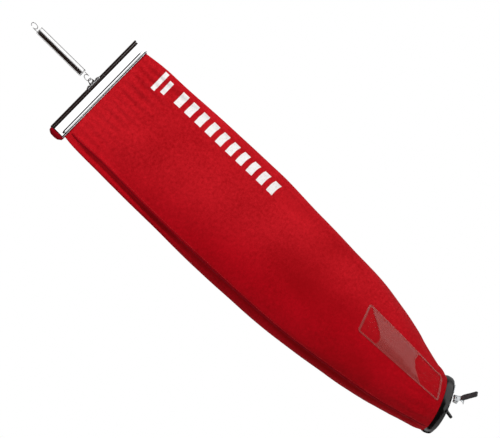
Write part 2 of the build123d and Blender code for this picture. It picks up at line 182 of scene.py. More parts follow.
def group_ends(graph: Graph, inputs: dict[str, tuple[str, float]], outputs: Sequence[str]) -> tuple:
    """Declare a group's sockets and add its end nodes.

    Args:
        graph: the group being built.
        inputs: socket type and default by name; a vector's default isn't used.
        outputs: names of the values that the group puts out.

    Returns:
        The input node and the output node.
    """
    for name, (kind, default) in inputs.items():
        made = graph.tree.interface.new_socket(name=name, in_out="INPUT", socket_type=kind)
        if kind == "NodeSocketFloat":
            made.default_value = default
    for name in outputs:
        graph.tree.interface.new_socket(name=name, in_out="OUTPUT", socket_type="NodeSocketFloat")
    return graph.node("NodeGroupInput"), graph.node("NodeGroupOutput")


def build_weave(graph: Graph) -> None:
    """Plain weave: threads that pass over and under each other, with uneven thickness."""
    start, end = group_ends(
        graph,
        {"Vector": ("NodeSocketVector", 0.0), "Threads": ("NodeSocketFloat", 1500.0)},
        ["Height", "Tone"],
    )
    wobble = graph.noise(start.outputs["Vector"], 160.0, 1.0)
    scaled = graph.node("ShaderNodeVectorMath", {0: start.outputs["Vector"]}, operation="SCALE")
    set_inputs(scaled, Scale=start.outputs["Threads"])
    parts = graph.node("ShaderNodeSeparateXYZ", {0: scaled.outputs[0]})
    bend = graph.math("MULTIPLY", graph.math("SUBTRACT", wobble, 0.5), 1.6)
    across = graph.math("ADD", parts.outputs[0], bend)
    along = graph.math("ADD", parts.outputs[1], bend)
    warp = graph.math("ABSOLUTE", graph.math("SINE", graph.math("MULTIPLY", across, math.pi)))
    weft = graph.math("ABSOLUTE", graph.math("SINE", graph.math("MULTIPLY", along, math.pi)))
    cell = graph.math("ADD", graph.math("FLOOR", across), graph.math("FLOOR", along))
    over = graph.math("PINGPONG", cell, 1.0)
    under = graph.math("SUBTRACT", 1.0, over)
    high_warp = graph.math("MULTIPLY", over, graph.math("MULTIPLY", warp, graph.math("POWER", weft, 0.5)))
    high_weft = graph.math("MULTIPLY", under, graph.math("MULTIPLY", weft, graph.math("POWER", warp, 0.5)))
    height = graph.math("ADD", high_warp, high_weft)
    slub = graph.noise(start.outputs["Vector"], 420.0, 2.0)
    uneven = graph.math("MULTIPLY", height, graph.remap(slub, 0.3, 0.7, 0.7, 1.0))
    set_inputs(end, Height=uneven)
    patch = graph.noise(start.outputs["Vector"], 190.0, 4.0, 0.65)
    tone = graph.math("ADD", graph.math("MULTIPLY", patch, 0.65), graph.math("MULTIPLY", uneven, 0.35))
    set_inputs(end, Tone=tone)


def build_grain(graph: Graph) -> None:
    """Fine uneven surface of moulded plastic or rubber."""
    start, end = group_ends(
        graph,
        {"Vector": ("NodeSocketVector", 0.0), "Size": ("NodeSocketFloat", 900.0)},
        ["Height", "Mask"],
    )
    fine = graph.node("ShaderNodeTexNoise", {"Vector": start.outputs[0], "Detail": 3.0})
    set_inputs(fine, Scale=start.outputs["Size"])
    set_inputs(end, Height=fine.outputs[0])
    broad = graph.noise(start.outputs[0], 45.0, 3.0, 0.6)
    set_inputs(end, Mask=graph.remap(broad, 0.38, 0.68))


def build_scuff(graph: Graph) -> None:
    """Thin scratches and finger smears, as left by handling."""
    start, end = group_ends(graph, {"Vector": ("NodeSocketVector", 0.0)}, ["Scratch", "Smear"])
    turned = graph.node("ShaderNodeMapping",
                        {0: start.outputs[0], "Rotation": (0.4, 0.3, 0.7), "Scale": (900, 60, 900)})
    lines = graph.noise(turned.outputs[0], 1.0, 2.0)
    thin = graph.remap(graph.math("ABSOLUTE", graph.math("SUBTRACT", lines, 0.5)), 0.0, 0.012, 1.0, 0.0)
    gate = graph.remap(graph.noise(start.outputs[0], 70.0, 1.0), 0.52, 0.62)
    set_inputs(end, Scratch=graph.math("MULTIPLY", thin, gate))
    smear = graph.remap(graph.noise(start.outputs[0], 38.0, 4.0, 0.6), 0.42, 0.72)
    set_inputs(end, Smear=smear)


def build_wear(graph: Graph) -> None:
    """Mask of sharp outside edges, broken up by noise."""
    start, end = group_ends(graph, {"Vector": ("NodeSocketVector", 0.0)}, ["Edge"])
    sharp = graph.node("ShaderNodeNewGeometry").outputs["Pointiness"]
    edge = graph.remap(sharp, 0.53, 0.62)
    broken = graph.remap(graph.noise(start.outputs[0], 240.0, 3.0), 0.4, 0.6)
    set_inputs(end, Edge=graph.math("MULTIPLY", edge, broken))


class Coordinates(Enum):
    """Where a finish reads its place from."""

    OBJECT = "Object"
    UV = "UV"


def new_material(name: str) -> tuple[Material, Graph, Node]:
    """Make an empty material with one Principled shader.

    Args:
        name: the material's name.

    Returns:
        The material, a graph on its tree and its shader node.
    """
    material = bpy.data.materials.new(name)
    material.use_nodes = True
    graph = Graph(material.node_tree)
    shader = material.node_tree.nodes.get("Principled BSDF")
    return material, graph, shader


def set_inputs(node: Node, **values: object) -> None:
    """Set or link a node's inputs by name, with underscores for spaces."""
    for name, value in values.items():
        fill(node.inputs[name.replace("_", " ")], value)


def placed_group(graph: Graph, effect: Effect, vector: object, **values: float) -> Node:
    """Add a shared effect to a material."""
    return graph.node("ShaderNodeGroup", {"Vector": vector, **values}, node_tree=effect_group(effect))


@dataclass(frozen=True)
class WovenCloth:
    """Dyed canvas with a visible plain weave and optional printed blocks; its colour carries painted shade
    towards the lower left and in fold valleys.
    """

    name: str
    colour: Colour = (0.66, 0.013, 0.022)
    deep: Colour = (0.27, 0.0, 0.002)
    # Colour of the painted shade that darkens the cloth towards the bottom and the left of the bag.
    painted_shade: Colour = (0.54, 0.001, 0.009)
    threads: float = 1450.0
    relief: float = 0.22
    bars: tuple[tuple[float, float, float, float, int, float], ...] = ()

    def bar_mask(self, graph: Graph, across: object, along: object, bar: tuple) -> NodeSocket:
        """Mask of a column of plain printed bars.

        Args:
            graph: the material's graph.
            across: the socket of the distance across the cloth.
            along: the socket of the height along the cloth, negative below the top.
            bar: middle across, first middle along, width, height, how many, and their pitch.

        Returns:
            The mask's socket.
        """
        middle, first, width, height, count, pitch = bar
        soft = 0.25 * MM
        side = graph.math("ABSOLUTE", graph.math("SUBTRACT", across, middle))
        beside = graph.remap(side, width / 2 - soft, width / 2 + soft, 1.0, 0.0)
        down = graph.math("MULTIPLY", graph.math("ADD", along, -first), -1.0)
        number = graph.math("ROUND", graph.math("DIVIDE", down, pitch))
        inside = graph.math("MINIMUM", graph.math("MAXIMUM", number, 0.0), float(count - 1))
        off = graph.math("ABSOLUTE", graph.math("SUBTRACT", down, graph.math("MULTIPLY", inside, pitch)))
        return graph.math("MULTIPLY", beside, graph.remap(off, height / 2 - soft, height / 2 + soft, 1.0, 0.0))

    def make(self) -> Material:
        """Build the material on the piece's own UV map, which is in metres."""
        material, graph, shader = new_material(self.name)
        place = graph.node("ShaderNodeTexCoord").outputs[Coordinates.UV.value]
        weave = placed_group(graph, Effect.WEAVE, place, Threads=self.threads)
        body = graph.node("ShaderNodeTexCoord").outputs[Coordinates.OBJECT.value]
        fade = graph.noise(body, 9.0, 3.0, 0.55)
        mottle = graph.noise(body, 230.0, 3.0, 0.65)
        tone = graph.math("ADD", graph.math("MULTIPLY", weave.outputs["Tone"], 0.45),
                          graph.math("MULTIPLY", fade, 0.35))
        tone = graph.math("MULTIPLY_ADD", mottle, 0.32, tone)
        # Painted shade: the colour darkens towards the bottom (below z = -0.30) and the left (negative x) of
        # the bag, standing in for light that falls from the upper right.
        spot = graph.node("ShaderNodeSeparateXYZ", {0: body})
        lower = graph.math("MULTIPLY", graph.math("ADD", spot.outputs[2], 0.30), -2.35)
        painted_shade_amount = graph.math("MULTIPLY_ADD", spot.outputs[0], -9.0, lower)
        painted_shade = graph.mix(graph.math("MULTIPLY", graph.remap(painted_shade_amount, 0.0, 1.0), 0.92), self.colour,
                            self.painted_shade)
        colour = graph.mix(graph.remap(tone, 0.34, 0.76, smooth=False), self.deep, painted_shade)
        # Painted shade in fold valleys: the colour darkens towards the deep colour where the cloth lies sunk
        # below the smooth bag.
        painted_crease_shade = graph.node("ShaderNodeAttribute", attribute_name="painted_crease_shade").outputs["Fac"]
        colour = graph.mix(graph.math("MULTIPLY", painted_crease_shade, 0.95), colour, self.deep)
        if self.bars:
            parts = graph.node("ShaderNodeSeparateXYZ", {0: place})
            masks = [self.bar_mask(graph, parts.outputs[0], parts.outputs[1], bar) for bar in self.bars]
            ink = masks[0]
            for mask in masks[1:]:
                ink = graph.math("MAXIMUM", ink, mask)
            worn = graph.remap(weave.outputs["Tone"], 0.22, 0.42, 0.55, 1.0)
            colour = graph.mix(graph.math("MULTIPLY", ink, worn), colour, (0.86, 0.84, 0.83))
        set_inputs(shader, Base_Color=colour)
        rough = graph.remap(weave.outputs["Height"], 0.0, 1.0, 0.82, 0.62)
        set_inputs(shader, Roughness=rough)
        rumple = graph.noise(body, 60.0, 3.0, 0.6)
        weave_bump = graph.node("ShaderNodeBump", {"Height": weave.outputs["Height"], "Strength": self.relief,
                                                   "Distance": 0.00035})
        soft_bump = graph.node("ShaderNodeBump", {"Height": rumple, "Strength": 0.35, "Distance": 0.0012,
                                                  "Normal": weave_bump.outputs[0]})
        set_inputs(shader, Normal=soft_bump.outputs[0])
        set_inputs(shader, Sheen_Weight=0.02, Sheen_Roughness=0.45, Sheen_Tint=(1.0, 0.2, 0.2, 1.0),
                   Specular_IOR_Level=0.10)
        return material


@dataclass(frozen=True)
class BrightMetal:
    """Plated or drawn metal, from mirror chrome to dull zinc."""

    name: str
    colour: Colour = (0.86, 0.86, 0.87)
    tarnish: Colour = (0.55, 0.53, 0.5)
    roughness: float = 0.05
    smear: float = 0.10
    ripple: float = 0.02

    def make(self) -> Material:
        """Build the material on object coordinates."""
        material, graph, shader = new_material(self.name)
        place = graph.node("ShaderNodeTexCoord").outputs[Coordinates.OBJECT.value]
        scuff = placed_group(graph, Effect.SCUFF, place)
        wear = placed_group(graph, Effect.WEAR, place)
        dull = graph.math("MAXIMUM", graph.math("MULTIPLY", scuff.outputs["Scratch"], 0.5),
                          graph.math("MULTIPLY", wear.outputs["Edge"], 0.35))
        set_inputs(shader, Base_Color=graph.mix(dull, self.colour, self.tarnish))
        base = graph.math("MULTIPLY_ADD", scuff.outputs["Smear"], self.smear, self.roughness)
        rough = graph.math("MULTIPLY_ADD", scuff.outputs["Scratch"], 0.2, base)
        set_inputs(shader, Roughness=rough)
        wave = graph.noise(place, 55.0, 2.0)
        bump = graph.node("ShaderNodeBump", {"Height": wave, "Strength": self.ripple, "Distance": 0.001})
        set_inputs(shader, Normal=bump.outputs[0])
        set_inputs(shader, Metallic=1.0)
        return material


@dataclass(frozen=True)
class Moulding:
    """Moulded plastic or rubber, glossy to matt."""

    name: str
    colour: Colour = (0.012, 0.011, 0.011)
    worn: Colour = (0.05, 0.045, 0.042)
    roughness: float = 0.18
    spread: float = 0.15
    grain: float = 0.05
    grain_size: float = 900.0
    coat: float = 0.0

    def make(self) -> Material:
        """Build the material on object coordinates."""
        material, graph, shader = new_material(self.name)
        place = graph.node("ShaderNodeTexCoord").outputs[Coordinates.OBJECT.value]
        grain = placed_group(graph, Effect.GRAIN, place, Size=self.grain_size)
        wear = placed_group(graph, Effect.WEAR, place)
        scuff = placed_group(graph, Effect.SCUFF, place)
        marks = graph.math("MAXIMUM", wear.outputs["Edge"],
                           graph.math("MULTIPLY", scuff.outputs["Scratch"], 0.6))
        dusty = graph.math("MULTIPLY", grain.outputs["Mask"], 0.25)
        shade = graph.math("MAXIMUM", marks, dusty)
        set_inputs(shader, Base_Color=graph.mix(shade, self.colour, self.worn))
        rough = graph.math("MULTIPLY_ADD", grain.outputs["Mask"], self.spread, self.roughness)
        set_inputs(shader, Roughness=rough)
        bump = graph.node("ShaderNodeBump", {"Height": grain.outputs["Height"], "Strength": self.grain,
                                             "Distance": 0.0004})
        set_inputs(shader, Normal=bump.outputs[0])
        set_inputs(shader, Coat_Weight=self.coat, Coat_Roughness=0.05)
        return material


@dataclass(frozen=True)
class ClearVinyl:
    """Soft clear sheet: dark where it clings to the cloth, with an opaque pinkish band of painted reflection
    across its middle.
    """

    name: str = "clear_vinyl"
    # The pinkish colour shows where the sheet is opaque: the painted reflection band and the pressed border.
    colour: Colour = (0.46, 0.085, 0.08)
    body: float = 0.02
    haze_and_painted_reflection: float = 0.36
    border: float = 0.40

    def make(self) -> Material:
        """Build the material; the "weld" attribute marks the pressed border and a second attribute the band of
        painted reflection.
        """
        material, graph, shader = new_material(self.name)
        place = graph.node("ShaderNodeTexCoord").outputs[Coordinates.OBJECT.value]
        weld = graph.node("ShaderNodeAttribute", attribute_name="weld").outputs["Fac"]
        # Painted reflection: an opaque pinkish band across the pocket's middle stands in for the reflection of
        # a bright light.
        reflection_band = graph.node("ShaderNodeAttribute", attribute_name="reflection_band").outputs["Fac"]
        loose = graph.math("MULTIPLY", graph.remap(reflection_band, 0.49, 0.51), self.haze_and_painted_reflection)
        pressed = graph.math("MULTIPLY", weld, self.border)
        alpha = graph.math("ADD", self.body, graph.math("MAXIMUM", loose, pressed))
        set_inputs(shader, Alpha=alpha)
        ripple = graph.noise(place, 26.0, 2.0)
        bump = graph.node("ShaderNodeBump", {"Height": ripple, "Strength": 0.10, "Distance": 0.004})
        set_inputs(shader, Normal=bump.outputs[0])
        haze_and_painted_reflection = graph.remap(graph.noise(place, 40.0, 3.0), 0.35, 0.7, 0.05, 0.12)
        set_inputs(shader, Roughness=haze_and_painted_reflection)
        set_inputs(shader, Base_Color=(*self.colour, 1.0), IOR=1.5, Specular_IOR_Level=0.4)
        return material


@dataclass(frozen=True)
class Thread:
    """Twisted sewing thread."""

    name: str
    colour: Colour = (0.42, 0.004, 0.010)

    def make(self) -> Material:
        """Build the material on object coordinates."""
        material, graph, shader = new_material(self.name)
        place = graph.node("ShaderNodeTexCoord").outputs[Coordinates.OBJECT.value]
        grain = placed_group(graph, Effect.GRAIN, place, Size=2200.0)
        pale = tuple(min(1.0, c * 1.5 + 0.02) for c in self.colour)
        set_inputs(shader, Base_Color=graph.mix(grain.outputs["Mask"], self.colour, pale))
        bump = graph.node("ShaderNodeBump",
                          {"Height": grain.outputs["Height"], "Strength": 0.4, "Distance": 0.0003})
        set_inputs(shader, Normal=bump.outputs[0])
        set_inputs(shader, Roughness=0.6, Sheen_Weight=0.2)
        return material


class Finishes:
    """All finishes of the object, made once."""

    def __init__(self) -> None:
        """Make every material."""
        bars = ((74.5 * MM, -53.0 * MM, 36 * MM, 7.5 * MM, 1, 22 * MM),
                (74.5 * MM, -67.7 * MM, 24 * MM, 7.5 * MM, 1, 22 * MM),
                (76.5 * MM, -97.0 * MM, 24 * MM, 12.5 * MM, 10, 22 * MM))
        self.cloth = WovenCloth("bag_cloth", bars=bars).make()
        # A darker copy of the bag cloth: painted shade for the hem under the clip, the seam welts and the neck
        # inside the cuff.
        self.painted_shade_cloth = WovenCloth("painted_shade_cloth", colour=(0.36, 0.003, 0.009), deep=(0.17, 0.0, 0.004),
                                         painted_shade=(0.30, 0.001, 0.006)).make()
        self.thread = Thread("seam_thread").make()
        self.chrome = BrightMetal("clip_chrome").make()
        self.spring_steel = BrightMetal("spring_steel", colour=(0.80, 0.80, 0.80), roughness=0.09).make()
        self.zinc = BrightMetal("zinc_plate", colour=(0.60, 0.63, 0.65), tarnish=(0.36, 0.35, 0.33),
                                roughness=0.24,
                                smear=0.18, ripple=0.06).make()
        self.rivet = BrightMetal("rivet_steel", colour=(0.66, 0.66, 0.66), roughness=0.16).make()
        self.gloss_black = Moulding("cuff_gloss", colour=(0.004, 0.0035, 0.0035), worn=(0.008, 0.007, 0.007),
                                    roughness=0.14).make()
        self.matt_black = Moulding("sleeve_matt", colour=(0.025, 0.025, 0.026), roughness=0.5,
                                   grain=0.25).make()
        self.rubber = Moulding("gasket_rubber", colour=(0.018, 0.018, 0.018), roughness=0.68, grain=0.3,
                               grain_size=1500.0).make()
        self.grip = Moulding("grip_plastic", colour=(0.030, 0.030, 0.032), worn=(0.10, 0.10, 0.10),
                             roughness=0.36,
                             grain=0.18).make()
        self.rod = Moulding("hem_rod_plastic", colour=(0.5, 0.5, 0.48), worn=(0.4, 0.4, 0.4),
                            roughness=0.5).make()
        self.vinyl = ClearVinyl().make()


# ---- Modelling tools ---------------------
def clear_selection() -> None:
    """Leave edit mode and deselect every object."""
    if bpy.context.object is not None and bpy.context.object.mode != "OBJECT":
        bpy.ops.object.mode_set(mode="OBJECT")
    bpy.ops.object.select_all(action="DESELECT")


def pick(piece: Object) -> None:
    """Select one object alone and make it active."""
    clear_selection()
    piece.select_set(True)
    bpy.context.view_layer.objects.active = piece


def edit(piece: Object) -> None:
    """Open a piece in edit mode with all of its mesh selected."""
    pick(piece)
    bpy.ops.object.mode_set(mode="EDIT")
    bpy.ops.mesh.select_mode(type="VERT")
    bpy.ops.mesh.select_all(action="SELECT")


def modify(piece: Object, kind: str, **settings: object) -> None:
    """Add a modifier to a piece and apply it.

    Args:
        piece: the object.
        kind: the modifier's type name.
        settings: the modifier's properties.
    """
    pick(piece)
    modifier = piece.modifiers.new(kind.lower(), kind)
    for name, value in settings.items():
        setattr(modifier, name, value)
    bpy.ops.object.modifier_apply(modifier=modifier.name)


def chain(name: str, points: Sequence[Sequence[float]], closed: bool = False, filled: bool = False) -> Object:
    """Model a chain of edges through points, by extruding one point again and again.

    Args:
        name: the piece's name.
        points: where the chain goes.
        closed: whether its last point joins its first.
        filled: whether the closed chain gets a face.

    Returns:
        The object, out of edit mode.
    """
    clear_selection()
    spots = [Vector(point) for point in points]
    bpy.ops.mesh.primitive_plane_add(size=MM)
    piece = bpy.context.object
    piece.name = name
    bpy.ops.object.mode_set(mode="EDIT")
    bpy.ops.mesh.merge(type="CENTER")
    bpy.ops.transform.translate(value=spots[0])
    for here, there in zip(spots, spots[1:]):
        bpy.ops.mesh.extrude_vertices_move(TRANSFORM_OT_translate={"value": there - here})
    if closed or filled:
        bpy.ops.mesh.select_all(action="SELECT")
        bpy.ops.mesh.edge_face_add()
    if closed and not filled:
        bpy.ops.mesh.delete(type="ONLY_FACE")
    bpy.ops.object.mode_set(mode="OBJECT")
    return piece


def primitive(kind: str, name: str, **settings: object) -> Object:
    """Add one of Blender's primitives, with its place in its mesh.

    Args:
        kind: the shape, as its operator names it.
        name: the piece's name.
        settings: the operator's properties.

    Returns:
        The object.
    """
    clear_selection()
    getattr(bpy.ops.mesh, f"primitive_{kind}_add")(**settings)
    piece = bpy.context.object
    piece.name = name
    bpy.ops.object.transform_apply()
    return piece


def tidy_mesh(piece: Object) -> None:
    """Merge doubled points and turn every face outwards."""
    edit(piece)
    bpy.ops.mesh.remove_doubles(threshold=2e-6)
    bpy.ops.mesh.normals_make_consistent(inside=False)
    bpy.ops.object.mode_set(mode="OBJECT")


def lathe(name: str, profile: Sequence[tuple[float, float]], steps: int = 96, turn: float = 360.0,
          start: float = 0.0, closed: bool = True) -> Object:
    """Spin a profile about the local Z axis.

    Args:
        name: the piece's name.
        profile: radius and height of each point.
        steps: faces around.
        turn: how far the profile is spun, in degrees.
        start: where it starts, counter-clockwise from +X.
        closed: whether the profile is a closed outline; an open one is a sheet.

    Returns:
        The object.
    """
    angle = math.radians(start)
    spots = [(r * math.cos(angle), r * math.sin(angle), z) for r, z in profile]
    part_turn = turn < 360.0
    piece = chain(name, spots, closed=closed, filled=closed and part_turn)
    edit(piece)
    bpy.ops.mesh.spin(steps=steps, angle=math.radians(turn), center=(0, 0, 0), axis=(0, 0, 1))
    tidy_mesh(piece)
    return piece


def extrude_chain(name: str, points: Sequence[Sequence[float]], steps: Sequence[Sequence[float]]) -> Object:
    """Model a chain and extrude it sideways into a bent sheet.

    Args:
        name: the piece's name.
        points: the chain.
        steps: the moves that the chain is extruded by, one after another.

    Returns:
        The object.
    """
    piece = chain(name, points)
    edit(piece)
    for step in steps:
        bpy.ops.mesh.extrude_region_move(TRANSFORM_OT_translate={"value": step})
    bpy.ops.object.mode_set(mode="OBJECT")
    tidy_mesh(piece)
    return piece


def arc(centre: tuple[float, float], radius: float, start: float, end: float,
        count: int) -> list[tuple[float, float]]:
    """Points along an arc, with angles in degrees."""
    angles = np.radians(np.linspace(start, end, count))
    return [(centre[0] + radius * math.cos(a), centre[1] + radius * math.sin(a)) for a in angles]


def bevel(piece: Object, width: float, segments: int = 2, limit: float = 35.0) -> None:
    """Round a piece's sharp edges."""
    modify(piece, "BEVEL", width=width, segments=segments, limit_method="ANGLE",
           angle_limit=math.radians(limit))


def thicken(piece: Object, thickness: float, offset: float = 0.0) -> None:
    """Give a sheet its thickness, with closed rims."""
    modify(piece, "SOLIDIFY", thickness=thickness, offset=offset, use_even_offset=True)


def smooth(piece: Object, angle: float = 38.0) -> None:
    """Shade a piece smooth except across edges sharper than an angle."""
    pick(piece)
    bpy.ops.object.shade_smooth_by_angle(angle=math.radians(angle))


def place(piece: Object, matrix: Matrix) -> None:
    """Put a piece in its place, with the place in its mesh."""
    pick(piece)
    piece.matrix_world = matrix
    bpy.ops.object.transform_apply()


def join(first: Object, *others: Object) -> Object:
    """Join pieces into the first one."""
    pick(first)
    for other in others:
        other.select_set(True)
    bpy.ops.object.join()
    return first


def coordinates(piece: Object) -> np.ndarray:
    """Read a mesh's points."""
    flat = np.empty(len(piece.data.vertices) * 3)
    piece.data.vertices.foreach_get("co", flat)
    return flat.reshape(-1, 3)


def move_points(piece: Object, points: np.ndarray) -> None:
    """Write a mesh's points."""
    piece.data.vertices.foreach_set("co", points.reshape(-1))
    piece.data.update()


def lug(name: str, hole: float, rim: float, foot: tuple[float, float], thickness: float) -> Object:
    """Model a flat ear with a hole, whose lower half widens to a straight foot.

    It lies on the local XZ plane with its hole at the origin and its foot towards -Z.

    Args:
        name: the piece's name.
        hole: radius of the hole.
        rim: radius of the ear's round end.
        foot: half width of the foot, and how far it is below the hole.
        thickness: thickness of the sheet.

    Returns:
        The object.
    """
    piece = primitive("circle", name, vertices=48, radius=hole, fill_type="NOTHING",
                      rotation=(math.pi / 2, 0, 0))
    edit(piece)
    bpy.ops.mesh.extrude_region_move()
    bpy.ops.transform.resize(value=(rim / hole,) * 3, center_override=(0, 0, 0))
    bpy.ops.object.mode_set(mode="OBJECT")
    points = coordinates(piece)
    side = math.hypot(foot[0] - rim, foot[1])
    for point in points:
        radius = math.hypot(point[0], point[2])
        if radius < rim * 0.98 or point[2] > -rim * 1e-3:
            continue
        sign = 1.0 if point[0] >= 0 else -1.0
        walked = math.atan2(-point[2], abs(point[0])) / (math.pi / 2) * (side + foot[0])
        if walked < side:
            share = walked / side
            point[0] = sign * (rim + (foot[0] - rim) * share)
            point[2] = -foot[1] * share
        else:
            point[0] = sign * (foot[0] - (walked - side))
            point[2] = -foot[1]
    move_points(piece, points)
    thicken(piece, thickness)
    tidy_mesh(piece)
    return piece


def domed_rivet(name: str, radius: float, rise: float, shank: float) -> Object:
    """Model a rivet: a domed head on the local XY plane and its shank below.

    Args:
        name: the piece's name.
        radius: radius of the head.
        rise: height of the head.
        shank: radius of the shank.

    Returns:
        The object.
    """
    dome = [(radius * math.cos(a), rise * math.sin(a)) for a in np.linspace(0, math.pi / 2, 7)[:-1]]
    profile = [(0.0, -shank), (shank, -shank), (shank, 0.0), *dome, (0.0, rise)]
    piece = lathe(name, profile, steps=24, closed=False)
    smooth(piece)
    return piece


def copies(template: Object, name: str, matrices: Sequence[Matrix]) -> Object:
    """Make one piece of many copies of a small shape, and delete the shape.

    Args:
        template: the shape that repeats.
        name: the new piece's name.
        matrices: the place of each copy.

    Returns:
        The new piece.
    """
    base = coordinates(template)
    faces = [tuple(polygon.vertices) for polygon in template.data.polygons]
    points: list = []
    polygons: list = []
    for matrix in matrices:
        turned = np.array(matrix.to_3x3())
        start = len(points)
        points.extend((base @ turned.T + np.array(matrix.translation)).tolist())
        polygons.extend(tuple(start + corner for corner in face) for face in faces)
    piece = new_piece(name, points, polygons)
    bpy.data.objects.remove(template)
    smooth(piece, 50.0)
    return piece


def new_piece(name: str, points: Sequence, faces: Sequence) -> Object:
    """Make an object from points and faces and put it in the scene."""
    mesh = bpy.data.meshes.new(name)
    mesh.from_pydata(points, [], faces)
    mesh.update()
    piece = bpy.data.objects.new(name, mesh)
    bpy.context.scene.collection.objects.link(piece)
    return piece


def frame_at(origin: Sequence[float], x_way: Sequence[float], y_way: Sequence[float]) -> Matrix:
    """Matrix of a frame from its origin and its first two directions."""
    x_axis = Vector(x_way).normalized()
    y_axis = Vector(y_way).normalized()
    z_axis = x_axis.cross(y_axis)
    y_axis = z_axis.cross(x_axis)
    matrix = Matrix((x_axis, y_axis, z_axis)).transposed().to_4x4()
    matrix.translation = Vector(origin)
    return matrix


def dress(piece: Object, material: Material, body: str, slot: str, *nodes: str) -> None:
    """Give a finished piece its material and its body, and hide the plain nodes that it stands for.

    Args:
        piece: the finished object.
        material: its finish.
        body: the body that it rides on.
        slot: not used.
        nodes: the plain nodes that it stands for.
    """
    piece.data.materials.clear()
    piece.data.materials.append(material)
    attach(piece, body)
    if nodes:
        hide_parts(*nodes)
    log.info("%s: %d faces on %s", piece.name, len(piece.data.polygons), body)


# ---- Spring ------------------------------
@dataclass
class Spring:
    """Close-wound extension spring with an eye at each end."""

    finishes: Finishes
    wire: float = 1.3 * MM
    eye_wire: float = 1.24 * MM
    coil_radius: float = 5.85 * MM
    eye_drop: float = 10.25 * MM
    eye_arc: float = 325.0
    eye_turn: float = 32.0
    turns: int = 69
    polish: float = 0.06
    flatness: float = 0.35
    fullness: float = 1.12
    lower_eye: float = -114.7 * MM

    def end(self, name: str, height: float, toward: float) -> Object:
        """Model an eye, its leg and the coil's last turn.

        Args:
            name: the piece's name.
            height: height of the eye's centre.
            toward: +1 if the coil is above the eye, -1 if it is below.

        Returns:
            The placed piece.
        """
        clear_selection()
        spot = (self.coil_radius, self.eye_drop, 0)
        piece = primitive("circle", name, vertices=14, radius=self.eye_wire / 2, fill_type="NGON",
                          location=spot, rotation=(math.pi / 2, 0, 0))
        edit(piece)
        for _ in range(3):
            bpy.ops.mesh.extrude_region_move(TRANSFORM_OT_translate={"value": (0, -self.eye_drop / 3, 0)})
        bpy.ops.mesh.spin(steps=44, angle=math.radians(self.eye_arc), center=(0, 0, 0), axis=(0, 0, -1))
        tidy_mesh(piece)
        bpy.ops.mesh.primitive_torus_add(major_radius=self.coil_radius, minor_radius=self.wire / 2,
                                         major_segments=48,
                                         minor_segments=14, location=(0, self.eye_drop, 0),
                                         rotation=(math.pi / 2, 0, 0))
        ring = bpy.context.object
        join(piece, ring)
        turn = math.radians(self.eye_turn)
        side = Vector((-math.sin(turn), math.cos(turn), 0)) * -toward
        place(piece, frame_at((0, 0, height), side, (0, 0, toward)))
        smooth(piece, 60.0)
        return piece

    def coil(self) -> Object:
        """Model the coil's free turns as one helix of round wire."""
        top = -self.eye_drop - self.wire
        bottom = self.lower_eye + self.eye_drop + self.wire
        piece = primitive("circle", "spring_helix", vertices=12, radius=self.wire / 2, fill_type="NOTHING",
                          location=(self.coil_radius, 0, bottom), rotation=(math.pi / 2, 0, 0))
        section = coordinates(piece)
        for point in section:
            outward, upward = point[0] - self.coil_radius, point[2] - bottom
            if outward > 0:
                flat = outward ** self.flatness * (self.wire / 2) ** (1 - self.flatness)
                point[0] = self.coil_radius + flat * (1 - self.polish)
                point[2] = bottom + upward * self.fullness
        move_points(piece, section)
        modify(piece, "SCREW", axis="Z", angle=math.tau, screw_offset=(top - bottom) / self.turns,
               iterations=self.turns, steps=28, render_steps=28, use_merge_vertices=False)
        edit(piece)
        bpy.ops.mesh.fill_holes(sides=0)
        tidy_mesh(piece)
        smooth(piece, 60.0)
        return piece

    def build(self) -> None:
        """Model, place and dress the spring."""
        upper = self.end("spring_eye_upper", 0.0, -1.0)
        dress(upper, self.finishes.spring_steel, "spring_top", "spring_steel", "spring_upper_eye")
        lower = self.end("spring_eye_lower", self.lower_eye, 1.0)
        dress(lower, self.finishes.spring_steel, "spring_foot", "spring_steel", "spring_lower_eye")
        coil = self.coil()
        coil.data.materials.append(self.finishes.spring_steel)
        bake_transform(coil)
        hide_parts("spring_coil")
        log.info("%s: %d faces between spring_top and spring_foot", coil.name, len(coil.data.polygons))


